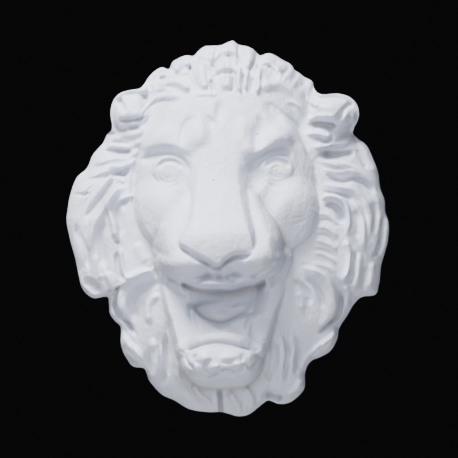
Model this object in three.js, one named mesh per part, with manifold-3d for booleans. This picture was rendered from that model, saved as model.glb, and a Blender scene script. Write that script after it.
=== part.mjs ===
import * as THREE from "three";
import { mergeVertices } from "three/addons/utils/BufferGeometryUtils.js";
import Module from "manifold-3d";

// Lion mask relief, one cast block of plaster with a flat back, in millimetres with +Z up.
// The back lies on the wall plane y = 0 and the face looks along -Y.
// Places are given as [x, z] where they appear on the wall plane to an eye straight in front,
// and depths are heights over the wall, so the higher a form stands the closer it draws to the middle.

// Driving sizes
const EYE_DISTANCE = 1800;
const GRID_CELLS = 65;
const CENTRE_SPACING = 0.84;
const RING_RADIUS = 3.6;
const RING_SAMPLES = 6;
const NARROWEST_FOLD = 5.5;
const RIM_DEPTH = 24;
const RIM_UNDERCUT = 0.03;
const BEHIND_WALL = 5;
const EDGE_ROUNDING = 13;
const EDGE_BAND = 25;
const EDGE_STEEPNESS = 5;
const EDGE_FILLET = 6;
const MANE_CREST = 92;
const MANE_FULLNESS = 2.6;
const HAIR_FALL = 2;
const FACE_FALL = 3;
const FACE_FILLET = 3;
const JAW_FILLET = 6;
const BEVEL_ENDS = 0.3;
const DOME_FALL = 2.5;
const PLASTER_COLOUR = 0xd9dbe0;

// Edge of the mask, from the parting at the top over the lion's right side and back
const CROWN_LEFT = [[5, 226], [-10, 220], [-27, 218], [-43, 207], [-58, 205], [-69, 198], [-72, 190],
  [-80, 192], [-92, 187], [-98, 178], [-106, 168]];
const EAR_LEFT = [[-116, 167], [-130, 163], [-138, 155], [-142, 140], [-140, 120]];
const MANE_LEFT = [[-146, 113], [-151, 103], [-163, 89], [-171, 72], [-182, 62], [-190, 42], [-195, 12],
  [-191, -12], [-184, -38], [-180, -58], [-176, -72], [-168, -81], [-160, -84], [-148, -82]];
const JAW_LEFT = [[-144, -90], [-143, -102], [-136, -112], [-130, -118], [-129, -142], [-123, -156],
  [-115, -166], [-101, -169], [-96, -182], [-90, -190]];
const BEARD = [[-80, -200], [-65, -207], [-48, -217], [-25, -221], [0, -223], [11, -226], [24, -224],
  [40, -212], [48, -207], [60, -211], [72, -210], [84, -202], [92, -190]];
const JAW_RIGHT = [[92, -176], [98, -161], [112, -154], [122, -148], [131, -132], [133, -121],
  [144, -103], [152, -90]];
const MANE_RIGHT = [[162, -82], [176, -80], [181, -68], [184, -44], [192, -14], [193, 6], [189, 20],
  [188, 34], [183, 48], [180, 68], [174, 84], [166, 100], [154, 110]];
const EAR_RIGHT = [[149, 117], [156, 131], [157, 140], [154, 150], [146, 158], [134, 162], [112, 161],
  [105, 165]];
const CROWN_RIGHT = [[101, 175], [90, 183], [80, 192], [73, 198], [58, 206], [46, 210], [36, 209],
  [28, 217], [14, 221]];
const OUTLINE = [CROWN_LEFT, EAR_LEFT, MANE_LEFT, JAW_LEFT, BEARD, JAW_RIGHT, MANE_RIGHT, EAR_RIGHT,
  CROWN_RIGHT].flat();

// Edge of the face inside the mane: hairline, temples, cheeks and lower jaw
const FACE_EDGE = [[0, 158], [-40, 156], [-70, 144], [-88, 123], [-100, 105], [-107, 87], [-113, 68],
  [-115, 45], [-112, 25], [-106, 3], [-94, -14], [-85, -32], [-81, -50], [-75, -86], [-67, -110],
  [-62, -134], [-58, -152], [-51, -173], [-37, -186], [-8, -191], [20, -186], [32, -176], [41, -152],
  [48, -128], [56, -98], [65, -80], [70, -56], [76, -24], [95, -10], [109, 6], [112, 33], [110, 55],
  [104, 72], [94, 87], [86, 105], [78, 120], [62, 137], [41, 155], [20, 159]];
const FACE_CENTRE = [-2, 10];
const FACE_GROOVE = { reach: 5, depth: 4 };

// Forehead, brows, eyes and cheeks
const SKULL = { at: [-3, 62], half: 114, above: 140, below: 104, foot: 50, top: 120, power: 0.42 };
const CROWN = { at: [5, 130], radii: [100, 97], foot: RIM_DEPTH, top: 107, fillet: 8 };
const BROWS = [
  { way: [[-112, 92], [-98, 101], [-80, 104], [-60, 100], [-40, 86]], left: 24, right: 10, amount: 8 },
  { way: [[14, 82], [32, 94], [48, 101], [64, 107], [82, 103]], left: 22, right: 10, amount: 9 },
];
const FOREHEAD_SWELLS = [
  { at: [-36, 113], radii: [20, 27], amount: 6.5 },
  { at: [17, 107], radii: [15, 32], amount: 6.5 },
  { at: [60, 114], radii: [20, 16], amount: 4.5 },
];
const FOREHEAD_FURROWS = [
  { way: [[-34, 143], [-22, 128], [-14, 114], [-12, 90]], left: 9, right: 13, amount: -6 },
  { way: [[-10, 160], [-10, 144], [-12, 116]], left: 9, right: 10, amount: -4 },
  { way: [[30, 132], [34, 118], [34, 104], [31, 86]], left: 14, right: 9, amount: -6 },
];
const EYES = [
  {
    at: [-72.5, 67.5], inner: [-51, 66], depth: 12, above: 8, below: 24,
    brow: [[-107, 84], [-95, 89], [-80, 90.5], [-64, 86], [-52, 78], [-40, 65]],
  },
  {
    at: [60, 68.5], inner: [34, 66], depth: 16, above: 9, below: 24,
    brow: [[20, 60], [29, 74], [41, 85], [54, 91], [67, 93.5], [80, 90]],
  },
];
const EYE_INNER = { radii: [16, 22], amount: -5.5 };
const EYEBALL = { radii: [20, 19.5], foot: 99, top: 110, power: 0.45, fillet: 2 };
const LID = { radius: 15, width: 5, depth: 4.5, from: 160, to: 15, steps: 6 };
const CHEEKS = [
  {
    mass: { at: [-79, 22], radii: [37, 50], foot: 50, top: 124, power: 0.42, fillet: 9 },
    bevel: { start: [-112, 46], end: [-84, 4], heights: [108, 119], slope: 0.7, reach: 40, fillet: 9 },
  },
  {
    mass: { at: [70, 22], radii: [40, 52], foot: 50, top: 123, power: 0.42, fillet: 9 },
    bevel: { start: [58, 12], end: [102, 34], heights: [121, 112], slope: 0.5, reach: 44, fillet: 9 },
  },
];

// Nose and flanks from the brow down: level z, height of the front, its left and right edge,
// the width of either side and how far the sides fall
const NOSE = {
  crown: 0.0052,
  swollen: false,
  fillet: 4,
  starts: 152,
  underSlope: 3,
  underRound: 5,
  underRadius: 6,
  stations: [
    { z: 152, front: 98, left: -26, right: 22, leftSide: 40, rightSide: 40, fall: 0 },
    { z: 120, front: 113, left: -25, right: 19, leftSide: 36, rightSide: 36, fall: 2 },
    { z: 94, front: 123, left: -28, right: 12, leftSide: 22, rightSide: 26, fall: 8 },
    { z: 64, front: 134, left: -35, right: 9, leftSide: 17, rightSide: 24, fall: 20 },
    { z: 28, front: 160, left: -39, right: 16, leftSide: 15, rightSide: 20, fall: 28 },
    { z: 10, front: 175, left: -42, right: 20, leftSide: 14, rightSide: 15, fall: 29 },
    { z: -8, front: 189, left: -53, right: 28, leftSide: 9, rightSide: 9, fall: 36 },
    { z: -16, front: 191, left: -57, right: 30, leftSide: 7, rightSide: 7, fall: 40 },
    { z: -42, front: 187.5, left: -50, right: 24, leftSide: 8, rightSide: 8, fall: 30 },
  ],
};
const FLANKS = {
  crown: 0,
  swollen: true,
  fillet: 4,
  from: 60,
  to: -56,
  stations: [
    { z: 62, front: 100, left: -44, right: 22, leftSide: 6, rightSide: 8, fall: 16 },
    { z: 40, front: 131, left: -46, right: 26, leftSide: 10, rightSide: 10, fall: 24 },
    { z: 28, front: 142, left: -54, right: 30, leftSide: 12, rightSide: 12, fall: 30 },
    { z: 12, front: 152, left: -62, right: 38, leftSide: 16, rightSide: 16, fall: 36 },
    { z: -15, front: 165, left: -64, right: 44, leftSide: 21, rightSide: 20, fall: 48 },
    { z: -30, front: 168, left: -62, right: 42, leftSide: 21, rightSide: 22, fall: 56 },
    { z: -56, front: 150, left: -50, right: 32, leftSide: 22, rightSide: 22, fall: 70 },
  ],
};
const SIDE_STEEPNESS = { high: 0.8, low: 2.4, level: 70 };
const NOSE_UNDERSIDE = [[-64, -20], [-58, -23.5], [-42, -29], [-25, -37], [-14, -39.5], [-6, -37.5],
  [9, -28.5], [28, -27], [34, -22]];

// Upper lip with its pads, and the furrows over and between them
const PADS = [
  { at: [-8, -47], radii: [26, 21], foot: 120, top: 164, fillet: 6 },
  { at: [-45, -38.5], radii: [37, 29], foot: 112, top: 172, power: 0.42, fillet: 5 },
  { at: [29, -36.5], radii: [37, 29], foot: 112, top: 172, power: 0.42, fillet: 5 },
];
const LIP = {
  way: [[-77, -50], [-56, -62.5], [-40, -66.5], [-22, -68], [2, -68], [20, -65], [34, -58.5], [58, -41]],
  width: 7, drop: 7, fillet: 3, depths: [104, 142, 155, 158, 158, 154, 138, 106],
};
const LIP_FURROWS = [
  { way: [[-80, -44], [-58, -58], [-40, -61], [-16, -58]], left: 4, right: 3, amount: -6 },
  { way: [[-3, -58], [14, -61], [32, -56], [64, -36]], left: 4, right: 3, amount: -8 },
  { way: [[-14, -38], [-12, -47], [-9, -57], [-8, -65]], left: 7, right: 6, amount: -7 },
];

// Open mouth, with a floor that rises towards the lower lip and a fold at its left
const MOUTH_EDGE = [[-52, -69], [-52, -80], [-50, -88], [-42, -97], [-32, -106.5], [-22, -111.5],
  [-10, -114.5], [0, -112.5], [8, -108.5], [18, -104.5], [28, -99.5], [33, -94], [35, -84], [40, -72],
  [44, -61], [36, -63.5], [18, -71], [5, -73.5], [-10, -74.5], [-24, -74], [-36, -73]];
const MOUTH_CENTRE = [-6, -90];
const MOUTH = {
  floor: 78, rise: 0.42, deepest: -78, sharpness: 4.5, softness: 5, softAcross: [20, 32], softDown: [-70, -82],
};
const MOUTH_FOLD = { top: 116, slope: 0.9, start: -52, foot: -87, fall: 3, fillet: 4 };

// Lower jaw: a trough from corner to corner of the mouth, its lip and the chin
const JAW_WALL = {
  way: [[-68, -54], [-65, -88], [-58, -116], [-48, -134], [-8, -141], [30, -135], [39, -116], [49, -88],
    [56, -54]],
  width: 17, drop: 13, squareness: 4, steepness: 2.4, fillet: 4, depths: [100, 106, 112, 120, 128, 119, 110, 103, 98],
};
const JAW_FLOOR = { top: 121, level: -124, slope: 0.5, middle: -7, half: 30, sides: 1.4, foot: -150, fall: 4 };
const LOWER_LIP = {
  way: [[-54, -138], [-34, -132], [-9, -130], [14, -132], [36, -138]],
  width: 9.5, drop: 9, fillet: 5, depths: [114, 132, 138, 132, 114],
};
const CHIN = {
  at: [-9.5, -150], half: 50, above: 16, below: 39.5, foot: 84, lean: 0.04, arch: 0.0048, power: 0.35,
  lowest: 4, across: 2.6, up: 4, down: 2.5, sides: 60,
  levels: [[-134, 134], [-148, 144], [-158, 146.5], [-168, 145], [-178, 139], [-189, 127]],
};
const CHIN_LINES = [
  { way: [[-51, -147], [-28, -138], [-10, -136.5], [8, -139], [30, -147]], left: 4, right: 3.5, amount: -6 },
  { way: [[-44, -158], [-36, -173], [-14, -178]], left: 4, right: 4, amount: -4 },
];

// Ears: a low cup, a tuft in it, a dark hollow beside the tuft and a thin rim
const EARS = [
  {
    cup: { at: [-120, 142], radii: [24, 27], foot: 40, top: 80, fillet: 6 },
    tufts: [{ at: [-110, 150], radii: [18, 16], amount: 5 }],
    hollows: [
      { way: [[-134, 163], [-130, 155], [-126, 147], [-123, 139]], left: 4, right: 9, amount: -16 },
      { way: [[-138, 131], [-122, 130], [-108, 131], [-100, 137]], left: 4, right: 6, amount: -6 },
    ],
    rim: { way: [[-102, 167], [-120, 167], [-133, 161], [-139, 148], [-139, 132], [-138, 118]] },
  },
  {
    cup: { at: [126, 142], radii: [33, 24], foot: 40, top: 84, fillet: 6 },
    tufts: [
      { at: [115, 150], radii: [24, 13], amount: 7 },
      { at: [116, 137], radii: [22, 8], amount: 3 },
    ],
    hollows: [{ way: [[151, 153], [145, 150], [139, 145], [134, 138], [130, 129]], left: 8, right: 4, amount: -15 }],
    rim: { way: [[112, 160], [130, 161], [146, 157], [154, 146], [155, 133], [149, 119]] },
  },
];
const EAR_RIM = { width: 5.5, drop: 5, fillet: 3, depths: [70, 65, 60, 56, 54, 51] };

// Tresses: rows of like folds, shared out between a first way and a last one
const TRESSES = {
  crown: {
    first: [[-36, 200], [-32, 184], [-28, 164]], last: [[26, 200], [23, 182], [19, 160]],
    count: 4, left: 9, right: 9, amount: 6,
  },
  crownLeft: {
    first: [[-56, 206], [-54, 196], [-50, 182]], last: [[-86, 190], [-80, 184], [-66, 178]],
    count: 3, left: 7, right: 7, amount: 5,
  },
  crownRight: {
    first: [[50, 208], [50, 200], [42, 190]], last: [[94, 180], [86, 174], [74, 168]],
    count: 4, left: 6, right: 6, amount: 4,
  },
  templeLeft: {
    first: [[-97, 124], [-110, 115], [-126, 112], [-143, 108]],
    last: [[-108, 84], [-128, 74], [-150, 68], [-174, 60]],
    count: 3, left: 7, right: 8, amount: 7,
  },
  tuftsRight: {
    first: [[92, 113], [106, 114], [117, 111], [127, 113]],
    last: [[100, 98], [116, 98], [131, 101], [150, 106]],
    count: 2, left: 6, right: 5, amount: 7,
  },
  sideRight: {
    first: [[98, 84], [124, 79], [150, 73], [170, 58], [184, 8]],
    last: [[112, 54], [134, 50], [151, 46], [165, 32], [172, -14]],
    count: 3, left: 5, right: 7, amount: 7,
  },
  scallops: {
    first: [[105, 17], [115, 17], [124, 12], [132, 2]], last: [[98, -42], [110, -44], [122, -48], [129, -56]],
    count: 4, left: 7, right: 5, amount: 5,
  },
  cheekLeft: {
    first: [[-150, 26], [-158, 0], [-156, -40]], last: [[-112, 30], [-114, -6], [-104, -42]],
    count: 3, left: 7, right: 7, amount: 4,
  },
  neckLeft: {
    first: [[-66, -120], [-62, -150], [-50, -196]], last: [[-92, -130], [-88, -156], [-92, -188]],
    count: 2, left: 9, right: 8, amount: 6,
  },
  neckRight: {
    first: [[64, -130], [66, -156], [62, -192]], last: [[82, -134], [84, -156], [80, -178]],
    count: 2, left: 7, right: 7, amount: 5,
  },
  beard: {
    first: [[-46, -186], [-34, -202], [-18, -214]], last: [[22, -190], [32, -202], [32, -214]],
    count: 3, left: 8, right: 8, amount: 7,
  },
};

// Locks that stand alone
const LOCKS = [
  { way: [[-90, 172], [-70, 178], [-50, 171], [-44, 163]], left: 5, right: 9, amount: 7 },
  { way: [[-112, 130], [-95, 152], [-78, 161], [-50, 155]], left: 5, right: 9, amount: 6 },
  { way: [[-107, 92], [-98, 111], [-79, 134], [-46, 157], [-8, 161]], left: 7, right: 5, amount: 5 },
  { way: [[-158, 62], [-174, 48], [-188, 4], [-185, -24], [-177, -58]], left: 12, right: 9, amount: 6 },
  { way: [[-116, 50], [-132, 47], [-154, 20], [-167, -16], [-166, -40]], left: 8, right: 6, amount: 8 },
  { way: [[-112, 40], [-126, 38], [-139, 28], [-139, -18], [-128, -58]], left: 6, right: 6, amount: 9 },
  { way: [[-148, -50], [-142, -66], [-138, -82]], left: 8, right: 6, amount: 5 },
  { way: [[-84, -50], [-122, -62], [-131, -93], [-112, -122]], left: 18, right: 7, amount: 8 },
  { way: [[-142, -70], [-143, -84], [-132, -112]], left: 5, right: 5, amount: 4 },
  { way: [[-128, -120], [-112, -148], [-97, -182]], left: 8, right: 12, amount: 9 },
  { way: [[84, -46], [119, -61], [128, -97], [108, -124]], left: 6, right: 18, amount: 8 },
  { way: [[139, -66], [144, -80], [142, -98]], left: 6, right: 6, amount: 5 },
  { way: [[130, -116], [108, -143], [88, -174]], left: 12, right: 8, amount: 9 },
  { way: [[90, -180], [82, -194], [66, -202]], left: 6, right: 8, amount: 7 },
  { way: [[144, 36], [161, 12], [162, -32]], left: 5, right: 7, amount: 5 },
  { way: [[110, 34], [130, 38], [144, 20], [142, -11]], left: 5, right: 6, amount: 10 },
  { way: [[140, -12], [146, -30], [136, -66]], left: 6, right: 6, amount: 9 },
  { way: [[158, -26], [157, -46], [148, -82]], left: 6, right: 6, amount: 5 },
  { way: [[174, -38], [173, -56], [170, -74]], left: 6, right: 6, amount: 5 },
  { way: [[36, 164], [60, 176], [90, 150], [97, 134]], left: 9, right: 12, amount: 7 },
  { way: [[33, 194], [43, 199], [57, 187], [58, 176]], left: 9, right: 4, amount: 5 },
  { way: [[154, 108], [172, 80], [178, 64]], left: 5, right: 6, amount: 5 },
];

// Hollows and furrows between the locks
const MANE_CUTS = [
  { way: [[-16, 192], [-8, 206], [12, 205]], left: 9, right: 4, amount: -5 },
  { way: [[13, 224], [16, 202], [19, 194]], left: 4, right: 4, amount: -8 },
  { way: [[28, 182], [29, 172], [26, 161]], left: 6, right: 6, amount: -10 },
  { way: [[-72, 196], [-66, 188], [-56, 182]], left: 5, right: 5, amount: -6 },
  { way: [[-135, 128], [-121, 129], [-99, 136]], left: 4, right: 5, amount: -6 },
  { way: [[-150, 93], [-132, 94], [-114, 92]], left: 6, right: 9, amount: -9 },
  { way: [[-126, 66], [-150, 45], [-172, 16], [-178, 2]], left: 9, right: 9, amount: -12 },
  { way: [[-184, 10], [-171, -30], [-168, -52]], left: 6, right: 5, amount: -7 },
  { way: [[-176, -60], [-164, -68], [-152, -78]], left: 8, right: 10, amount: -10 },
  { way: [[-136, -80], [-130, -106], [-110, -130]], left: 5, right: 6, amount: -9 },
  { way: [[-76, -124], [-76, -170], [-80, -192]], left: 6, right: 6, amount: -7 },
  { way: [[-12, -188], [-10, -203], [-9, -222]], left: 5, right: 5, amount: -12 },
  { way: [[52, -130], [50, -172], [42, -190]], left: 6, right: 6, amount: -6 },
  { way: [[42, -196], [54, -201], [66, -204]], left: 7, right: 7, amount: -12 },
  { way: [[133, -72], [131, -105], [106, -128]], left: 5, right: 4, amount: -10 },
  { way: [[116, 66], [134, 58], [165, 56], [178, 42]], left: 5, right: 7, amount: -8 },
  { way: [[187, 24], [185, -6], [171, -36]], left: 6, right: 5, amount: -9 },
  { way: [[115, 27], [125, 27], [133, 20], [137, 6]], left: 7, right: 7, amount: -11 },
  { way: [[153, -26], [147, -58], [141, -70]], left: 4, right: 4, amount: -9 },
  { way: [[91, 164], [92, 154], [106, 142]], left: 5, right: 5, amount: -8 },
  { way: [[94, 125], [120, 125], [132, 123]], left: 6, right: 9, amount: -14 },
  { way: [[108, 91], [138, 91], [153, 93]], left: 5, right: 9, amount: -13 },
  { way: [[40, 152], [62, 140], [92, 116]], left: 5, right: 5, amount: -6 },
];

const { abs, atan2, cos, hypot, max, min, PI, sin, sqrt } = Math;

const clamp = (value, low, high) => min(max(value, low), high);

// Eased step from 0 at the low value to 1 at the high one
function ease(low, high, value) {
  const t = clamp((value - low) / (high - low), 0, 1);
  return t * t * (3 - 2 * t);
}

// Greater of two heights with a fillet between them
function blend(a, b, fillet) {
  const h = clamp(0.5 + (0.5 * (a - b)) / fillet, 0, 1);
  return b * (1 - h) + a * h + fillet * h * (1 - h);
}

// Smooth curve through knots that never overshoots them
function throughKnots(x, xs, ys) {
  const last = xs.length - 1;
  const at = clamp(x, xs[0], xs[last]);
  let i = 0;
  while (i < last - 1 && at > xs[i + 1]) {
    i += 1;
  }
  const rise = (k) => (ys[k + 1] - ys[k]) / (xs[k + 1] - xs[k]);
  const slope = (k) => {
    if (k === 0 || k === last || rise(k - 1) * rise(k) <= 0) {
      return 0;
    }
    return (2 * rise(k - 1) * rise(k)) / (rise(k - 1) + rise(k));
  };
  const span = xs[i + 1] - xs[i];
  return hermite((at - xs[i]) / span, span, ys[i], ys[i + 1], slope(i), slope(i + 1));
}

function hermite(t, span, y0, y1, slope0, slope1) {
  const t2 = t * t;
  const t3 = t2 * t;
  const values = (2 * t3 - 3 * t2 + 1) * y0 + (3 * t2 - 2 * t3) * y1;
  return values + ((t3 - 2 * t2 + t) * slope0 + (t3 - t2) * slope1) * span;
}

// Closed edge turned into a radius over the angle about its centre
class Edge {
  constructor(points, [cx, cz], smooth) {
    this.centre = [cx, cz];
    this.smooth = smooth;
    const polar = points.map(([x, z]) => [atan2(z - cz, x - cx), hypot(x - cx, z - cz)]);
    polar.sort((a, b) => a[0] - b[0]);
    const shifted = (turns) => polar.map(([angle, radius]) => [angle + turns * 2 * PI, radius]);
    this.polar = [...shifted(-1), ...polar, ...shifted(1)];
  }

  slope(k) {
    const rise = (i) => (this.polar[i + 1][1] - this.polar[i][1]) / (this.polar[i + 1][0] - this.polar[i][0]);
    return this.smooth ? (rise(k - 1) + rise(k)) / 2 : rise(k);
  }

  radius(angle) {
    let i = 1;
    while (this.polar[i + 1][0] < angle) {
      i += 1;
    }
    const [a0, r0] = this.polar[i];
    const [a1, r1] = this.polar[i + 1];
    const t = (angle - a0) / (a1 - a0);
    if (!this.smooth) {
      return r0 + (r1 - r0) * t;
    }
    return hermite(t, a1 - a0, r0, r1, this.slope(i), this.slope(i + 1));
  }

  // Distance to the edge along the ray from the centre, positive inside
  inside(x, z) {
    const dx = x - this.centre[0];
    const dz = z - this.centre[1];
    return this.radius(atan2(dz, dx)) - hypot(dx, dz);
  }
}

const WAY_STEPS = 6;

// A way over the relief, answering how far along it a place lies and how far to its left
class Way {
  constructor(points) {
    const spline = new THREE.SplineCurve(points.map(([x, z]) => new THREE.Vector2(x, z)));
    this.points = spline.getPoints(WAY_STEPS * (points.length - 1));
    this.travelled = [0];
    for (let i = 1; i < this.points.length; i += 1) {
      this.travelled.push(this.travelled[i - 1] + this.points[i].distanceTo(this.points[i - 1]));
    }
    this.length = this.travelled[this.travelled.length - 1];
    this.box = new THREE.Box2().setFromPoints(this.points);
  }

  near(x, z, reach) {
    return this.box.distanceToPoint(new THREE.Vector2(x, z)) < reach;
  }

  measure(x, z) {
    let nearest = { along: 0, off: Infinity, side: 0 };
    for (let i = 1; i < this.points.length; i += 1) {
      const a = this.points[i - 1];
      const leg = [this.points[i].x - a.x, this.points[i].y - a.y];
      const span = this.travelled[i] - this.travelled[i - 1];
      const [dx, dz] = [x - a.x, z - a.y];
      const u = clamp((dx * leg[0] + dz * leg[1]) / (span * span), 0, 1);
      const off = hypot(dx - u * leg[0], dz - u * leg[1]);
      if (off < nearest.off) {
        const side = leg[0] * dz - leg[1] * dx < 0 ? -off : off;
        nearest = { along: (this.travelled[i - 1] + u * span) / this.length, off, side };
      }
    }
    return nearest;
  }
}

// Dome over an ellipse, falling away steeply outside it
function dome(x, z, { at: [cx, cz], radii: [rx, rz], foot, top, power = 0.5 }) {
  const r2 = ((x - cx) / rx) ** 2 + ((z - cz) / rz) ** 2;
  if (r2 < 1) {
    return foot + (top - foot) * (1 - r2) ** power;
  }
  return foot - (sqrt(r2) - 1) * min(rx, rz) * DOME_FALL;
}

const joinDome = (x, z, height, form) => blend(height, dome(x, z, form), form.fillet);

// Soft swelling laid on an ellipse, or a hollow where the amount is negative
function swell(x, z, { at: [cx, cz], radii: [rx, rz], amount }) {
  const r2 = ((x - cx) / rx) ** 2 + ((z - cz) / rz) ** 2;
  return amount * clamp(1 - r2, 0, 1) ** 2;
}

const FADE = 0.25;
const END_WIDTH = 0.45;

// Soft fold along a way with its own fall on either side, or a furrow where the amount is negative
class Fold {
  constructor({ way, left, right, amount }) {
    this.way = new Way(way);
    this.left = max(left, NARROWEST_FOLD);
    this.right = max(right, NARROWEST_FOLD);
    this.amount = amount;
  }

  at(x, z) {
    if (!this.way.near(x, z, max(this.left, this.right))) {
      return 0;
    }
    const { along, off, side } = this.way.measure(x, z);
    const fade = ease(0, FADE, along) * ease(0, FADE, 1 - along);
    const width = (side > 0 ? this.left : this.right) * (END_WIDTH + (1 - END_WIDTH) * fade);
    return this.amount * fade * (1 - clamp(off / width, 0, 1) ** 2) ** 2;
  }
}

const RIDGE_REACH = 2.5;
const RIDGE_FALL = 3;

// Rounded ridge that runs along a way at its own depths
class Ridge {
  constructor({ way, width, depths, fillet, drop }) {
    this.way = new Way(way);
    this.width = width;
    this.depths = depths;
    this.stations = depths.map((_, i) => i / (depths.length - 1));
    this.fillet = fillet;
    this.drop = drop;
  }

  join(x, z, height) {
    if (!this.way.near(x, z, this.width * RIDGE_REACH)) {
      return height;
    }
    const { along, off } = this.way.measure(x, z);
    const q = off / this.width;
    const shoulder = this.drop * (1 - sqrt(1 - min(q, 1) ** 2)) + max(q - 1, 0) * this.width * RIDGE_FALL;
    return blend(height, throughKnots(along, this.stations, this.depths) - shoulder, this.fillet);
  }
}

const mix = (a, b, t) => a.map((value, i) => value + (b[i] - value) * t);

function tressFolds({ first, last, count, left, right, amount }) {
  return Array.from({ length: count }, (_, i) => {
    const way = first.map((point, k) => mix(point, last[k], i / (count - 1)));
    return new Fold({ way, left, right, amount });
  });
}

const toFolds = (rows) => rows.map((row) => new Fold(row));
const maneFolds = [...Object.values(TRESSES).flatMap(tressFolds), ...toFolds(LOCKS), ...toFolds(MANE_CUTS)];
const ears = EARS.map(({ cup, tufts, hollows, rim }) => (
  { cup, tufts, hollows: toFolds(hollows), rim: new Ridge({ ...EAR_RIM, ...rim }) }
));
const brows = toFolds(BROWS);
const furrows = toFolds(FOREHEAD_FURROWS);
const lip = new Ridge(LIP);
const lipFurrows = toFolds(LIP_FURROWS);
const jawWall = new Way(JAW_WALL.way);
const jawStations = JAW_WALL.depths.map((_, i) => i / (JAW_WALL.depths.length - 1));
const lowerLip = new Ridge(LOWER_LIP);
const chinLines = toFolds(CHIN_LINES);
const outline = new Edge(OUTLINE, [0, 0], true);
const faceEdge = new Edge(FACE_EDGE, FACE_CENTRE, false);
const mouthEdge = new Edge(MOUTH_EDGE, MOUTH_CENTRE, true);

// Arc of the upper lid round an eye
function lidFold({ at: [cx, cz] }) {
  const way = Array.from({ length: LID.steps + 1 }, (_, i) => {
    const angle = THREE.MathUtils.degToRad(LID.from + ((LID.to - LID.from) * i) / LID.steps);
    return [cx + LID.radius * cos(angle), cz + LID.radius * sin(angle)];
  });
  return new Fold({ way, left: LID.width, right: LID.width, amount: -LID.depth });
}

const eyes = EYES.map((eye) => ({
  socket: new Fold({ way: eye.brow, left: eye.above, right: eye.below, amount: -eye.depth }),
  inner: { at: eye.inner, ...EYE_INNER },
  ball: { at: eye.at, ...EYEBALL },
  lid: lidFold(eye),
}));

// Height rounded off towards the outline
function limit(x, z, height) {
  const fromEdge = max(outline.inside(x, z), 0);
  const cap = RIM_DEPTH + EDGE_ROUNDING * sqrt(fromEdge) + EDGE_STEEPNESS * max(fromEdge - EDGE_BAND, 0);
  return -blend(-height, -cap, EDGE_FILLET);
}

// Hair: a dome over the whole mask that rises to the crown, laid in folds
function maneBase(x, z) {
  const share = min(hypot(x, z) / outline.radius(atan2(z, x)), 1);
  const side = RIM_DEPTH + (MANE_CREST - RIM_DEPTH) * sqrt(1 - share ** MANE_FULLNESS);
  return joinDome(x, z, side, CROWN);
}

function mane(x, z) {
  let height = maneBase(x, z);
  for (const { cup } of ears) {
    height = joinDome(x, z, height, cup);
  }
  height = limit(x, z, height);
  for (const fold of maneFolds) {
    height += fold.at(x, z);
  }
  for (const { tufts, hollows, rim } of ears) {
    for (const tuft of tufts) {
      height += swell(x, z, tuft);
    }
    for (const hollow of hollows) {
      height += hollow.at(x, z);
    }
    height = rim.join(x, z, height);
  }
  return height;
}

// Flat cut across a cheek, on the right of its edge
function bevelled(x, z, height, { start, end, heights, slope, reach, fillet }) {
  const length = hypot(end[0] - start[0], end[1] - start[1]);
  const [ux, uz] = [(end[0] - start[0]) / length, (end[1] - start[1]) / length];
  const along = ((x - start[0]) * ux + (z - start[1]) * uz) / length;
  const off = (x - start[0]) * uz - (z - start[1]) * ux;
  if (off < -2 * fillet || off > reach || abs(along - 0.5) > 0.5 + 2 * BEVEL_ENDS) {
    return height;
  }
  const edge = heights[0] + (heights[1] - heights[0]) * clamp(along, -BEVEL_ENDS, 1 + BEVEL_ENDS);
  return -blend(-height, slope * off - edge, fillet);
}

// Forehead, brows, eye sockets, eyes and cheeks
function upperFace(x, z) {
  const tall = z > SKULL.at[1] ? SKULL.above : SKULL.below;
  let height = dome(x, z, { ...SKULL, radii: [SKULL.half, tall] });
  for (const fold of [...brows, ...furrows]) {
    height += fold.at(x, z);
  }
  for (const boss of FOREHEAD_SWELLS) {
    height += swell(x, z, boss);
  }
  for (const { socket } of eyes) {
    height += socket.at(x, z);
  }
  for (const { mass, bevel } of CHEEKS) {
    height = bevelled(x, z, joinDome(x, z, height, mass), bevel);
  }
  for (const { inner, ball, lid } of eyes) {
    height = joinDome(x, z, height + swell(x, z, inner), ball) + lid.at(x, z);
  }
  return height;
}

// A mass that stands forward along the middle of the face, given at stations down it
class Prow {
  constructor({ stations, crown, swollen }) {
    this.stations = stations;
    this.down = stations.map((station) => -station.z);
    this.crown = crown;
    this.swollen = swollen;
  }

  at(z, key) {
    return throughKnots(-z, this.down, this.stations.map((station) => station[key]));
  }

  height(x, z) {
    const [left, right] = [this.at(z, "left"), this.at(z, "right")];
    const middle = (left + right) / 2;
    const off = max(x < middle ? left - x : x - right, 0);
    const side = this.at(z, x < middle ? "leftSide" : "rightSide");
    const t = min(off / side, 1);
    const profile = this.swollen ? 1 - sqrt(1 - t * t) : ease(0, 1, t);
    const steepness = z > SIDE_STEEPNESS.level ? SIDE_STEEPNESS.high : SIDE_STEEPNESS.low;
    const beyond = max(off - side, 0) * steepness;
    return this.at(z, "front") - this.at(z, "fall") * profile - beyond - this.crown * (x - middle) ** 2;
  }
}

const noseProw = new Prow(NOSE);
const flankProw = new Prow(FLANKS);
const undersideX = NOSE_UNDERSIDE.map(([x]) => x);
const undersideZ = NOSE_UNDERSIDE.map(([, z]) => z);

function nose(x, z) {
  const below = throughKnots(x, undersideX, undersideZ) - z;
  const under = NOSE.underSlope * max(below, 0) + NOSE.underRound * clamp(1 + below / NOSE.underRadius, 0, 1) ** 2;
  return noseProw.height(x, z) - under;
}

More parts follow.
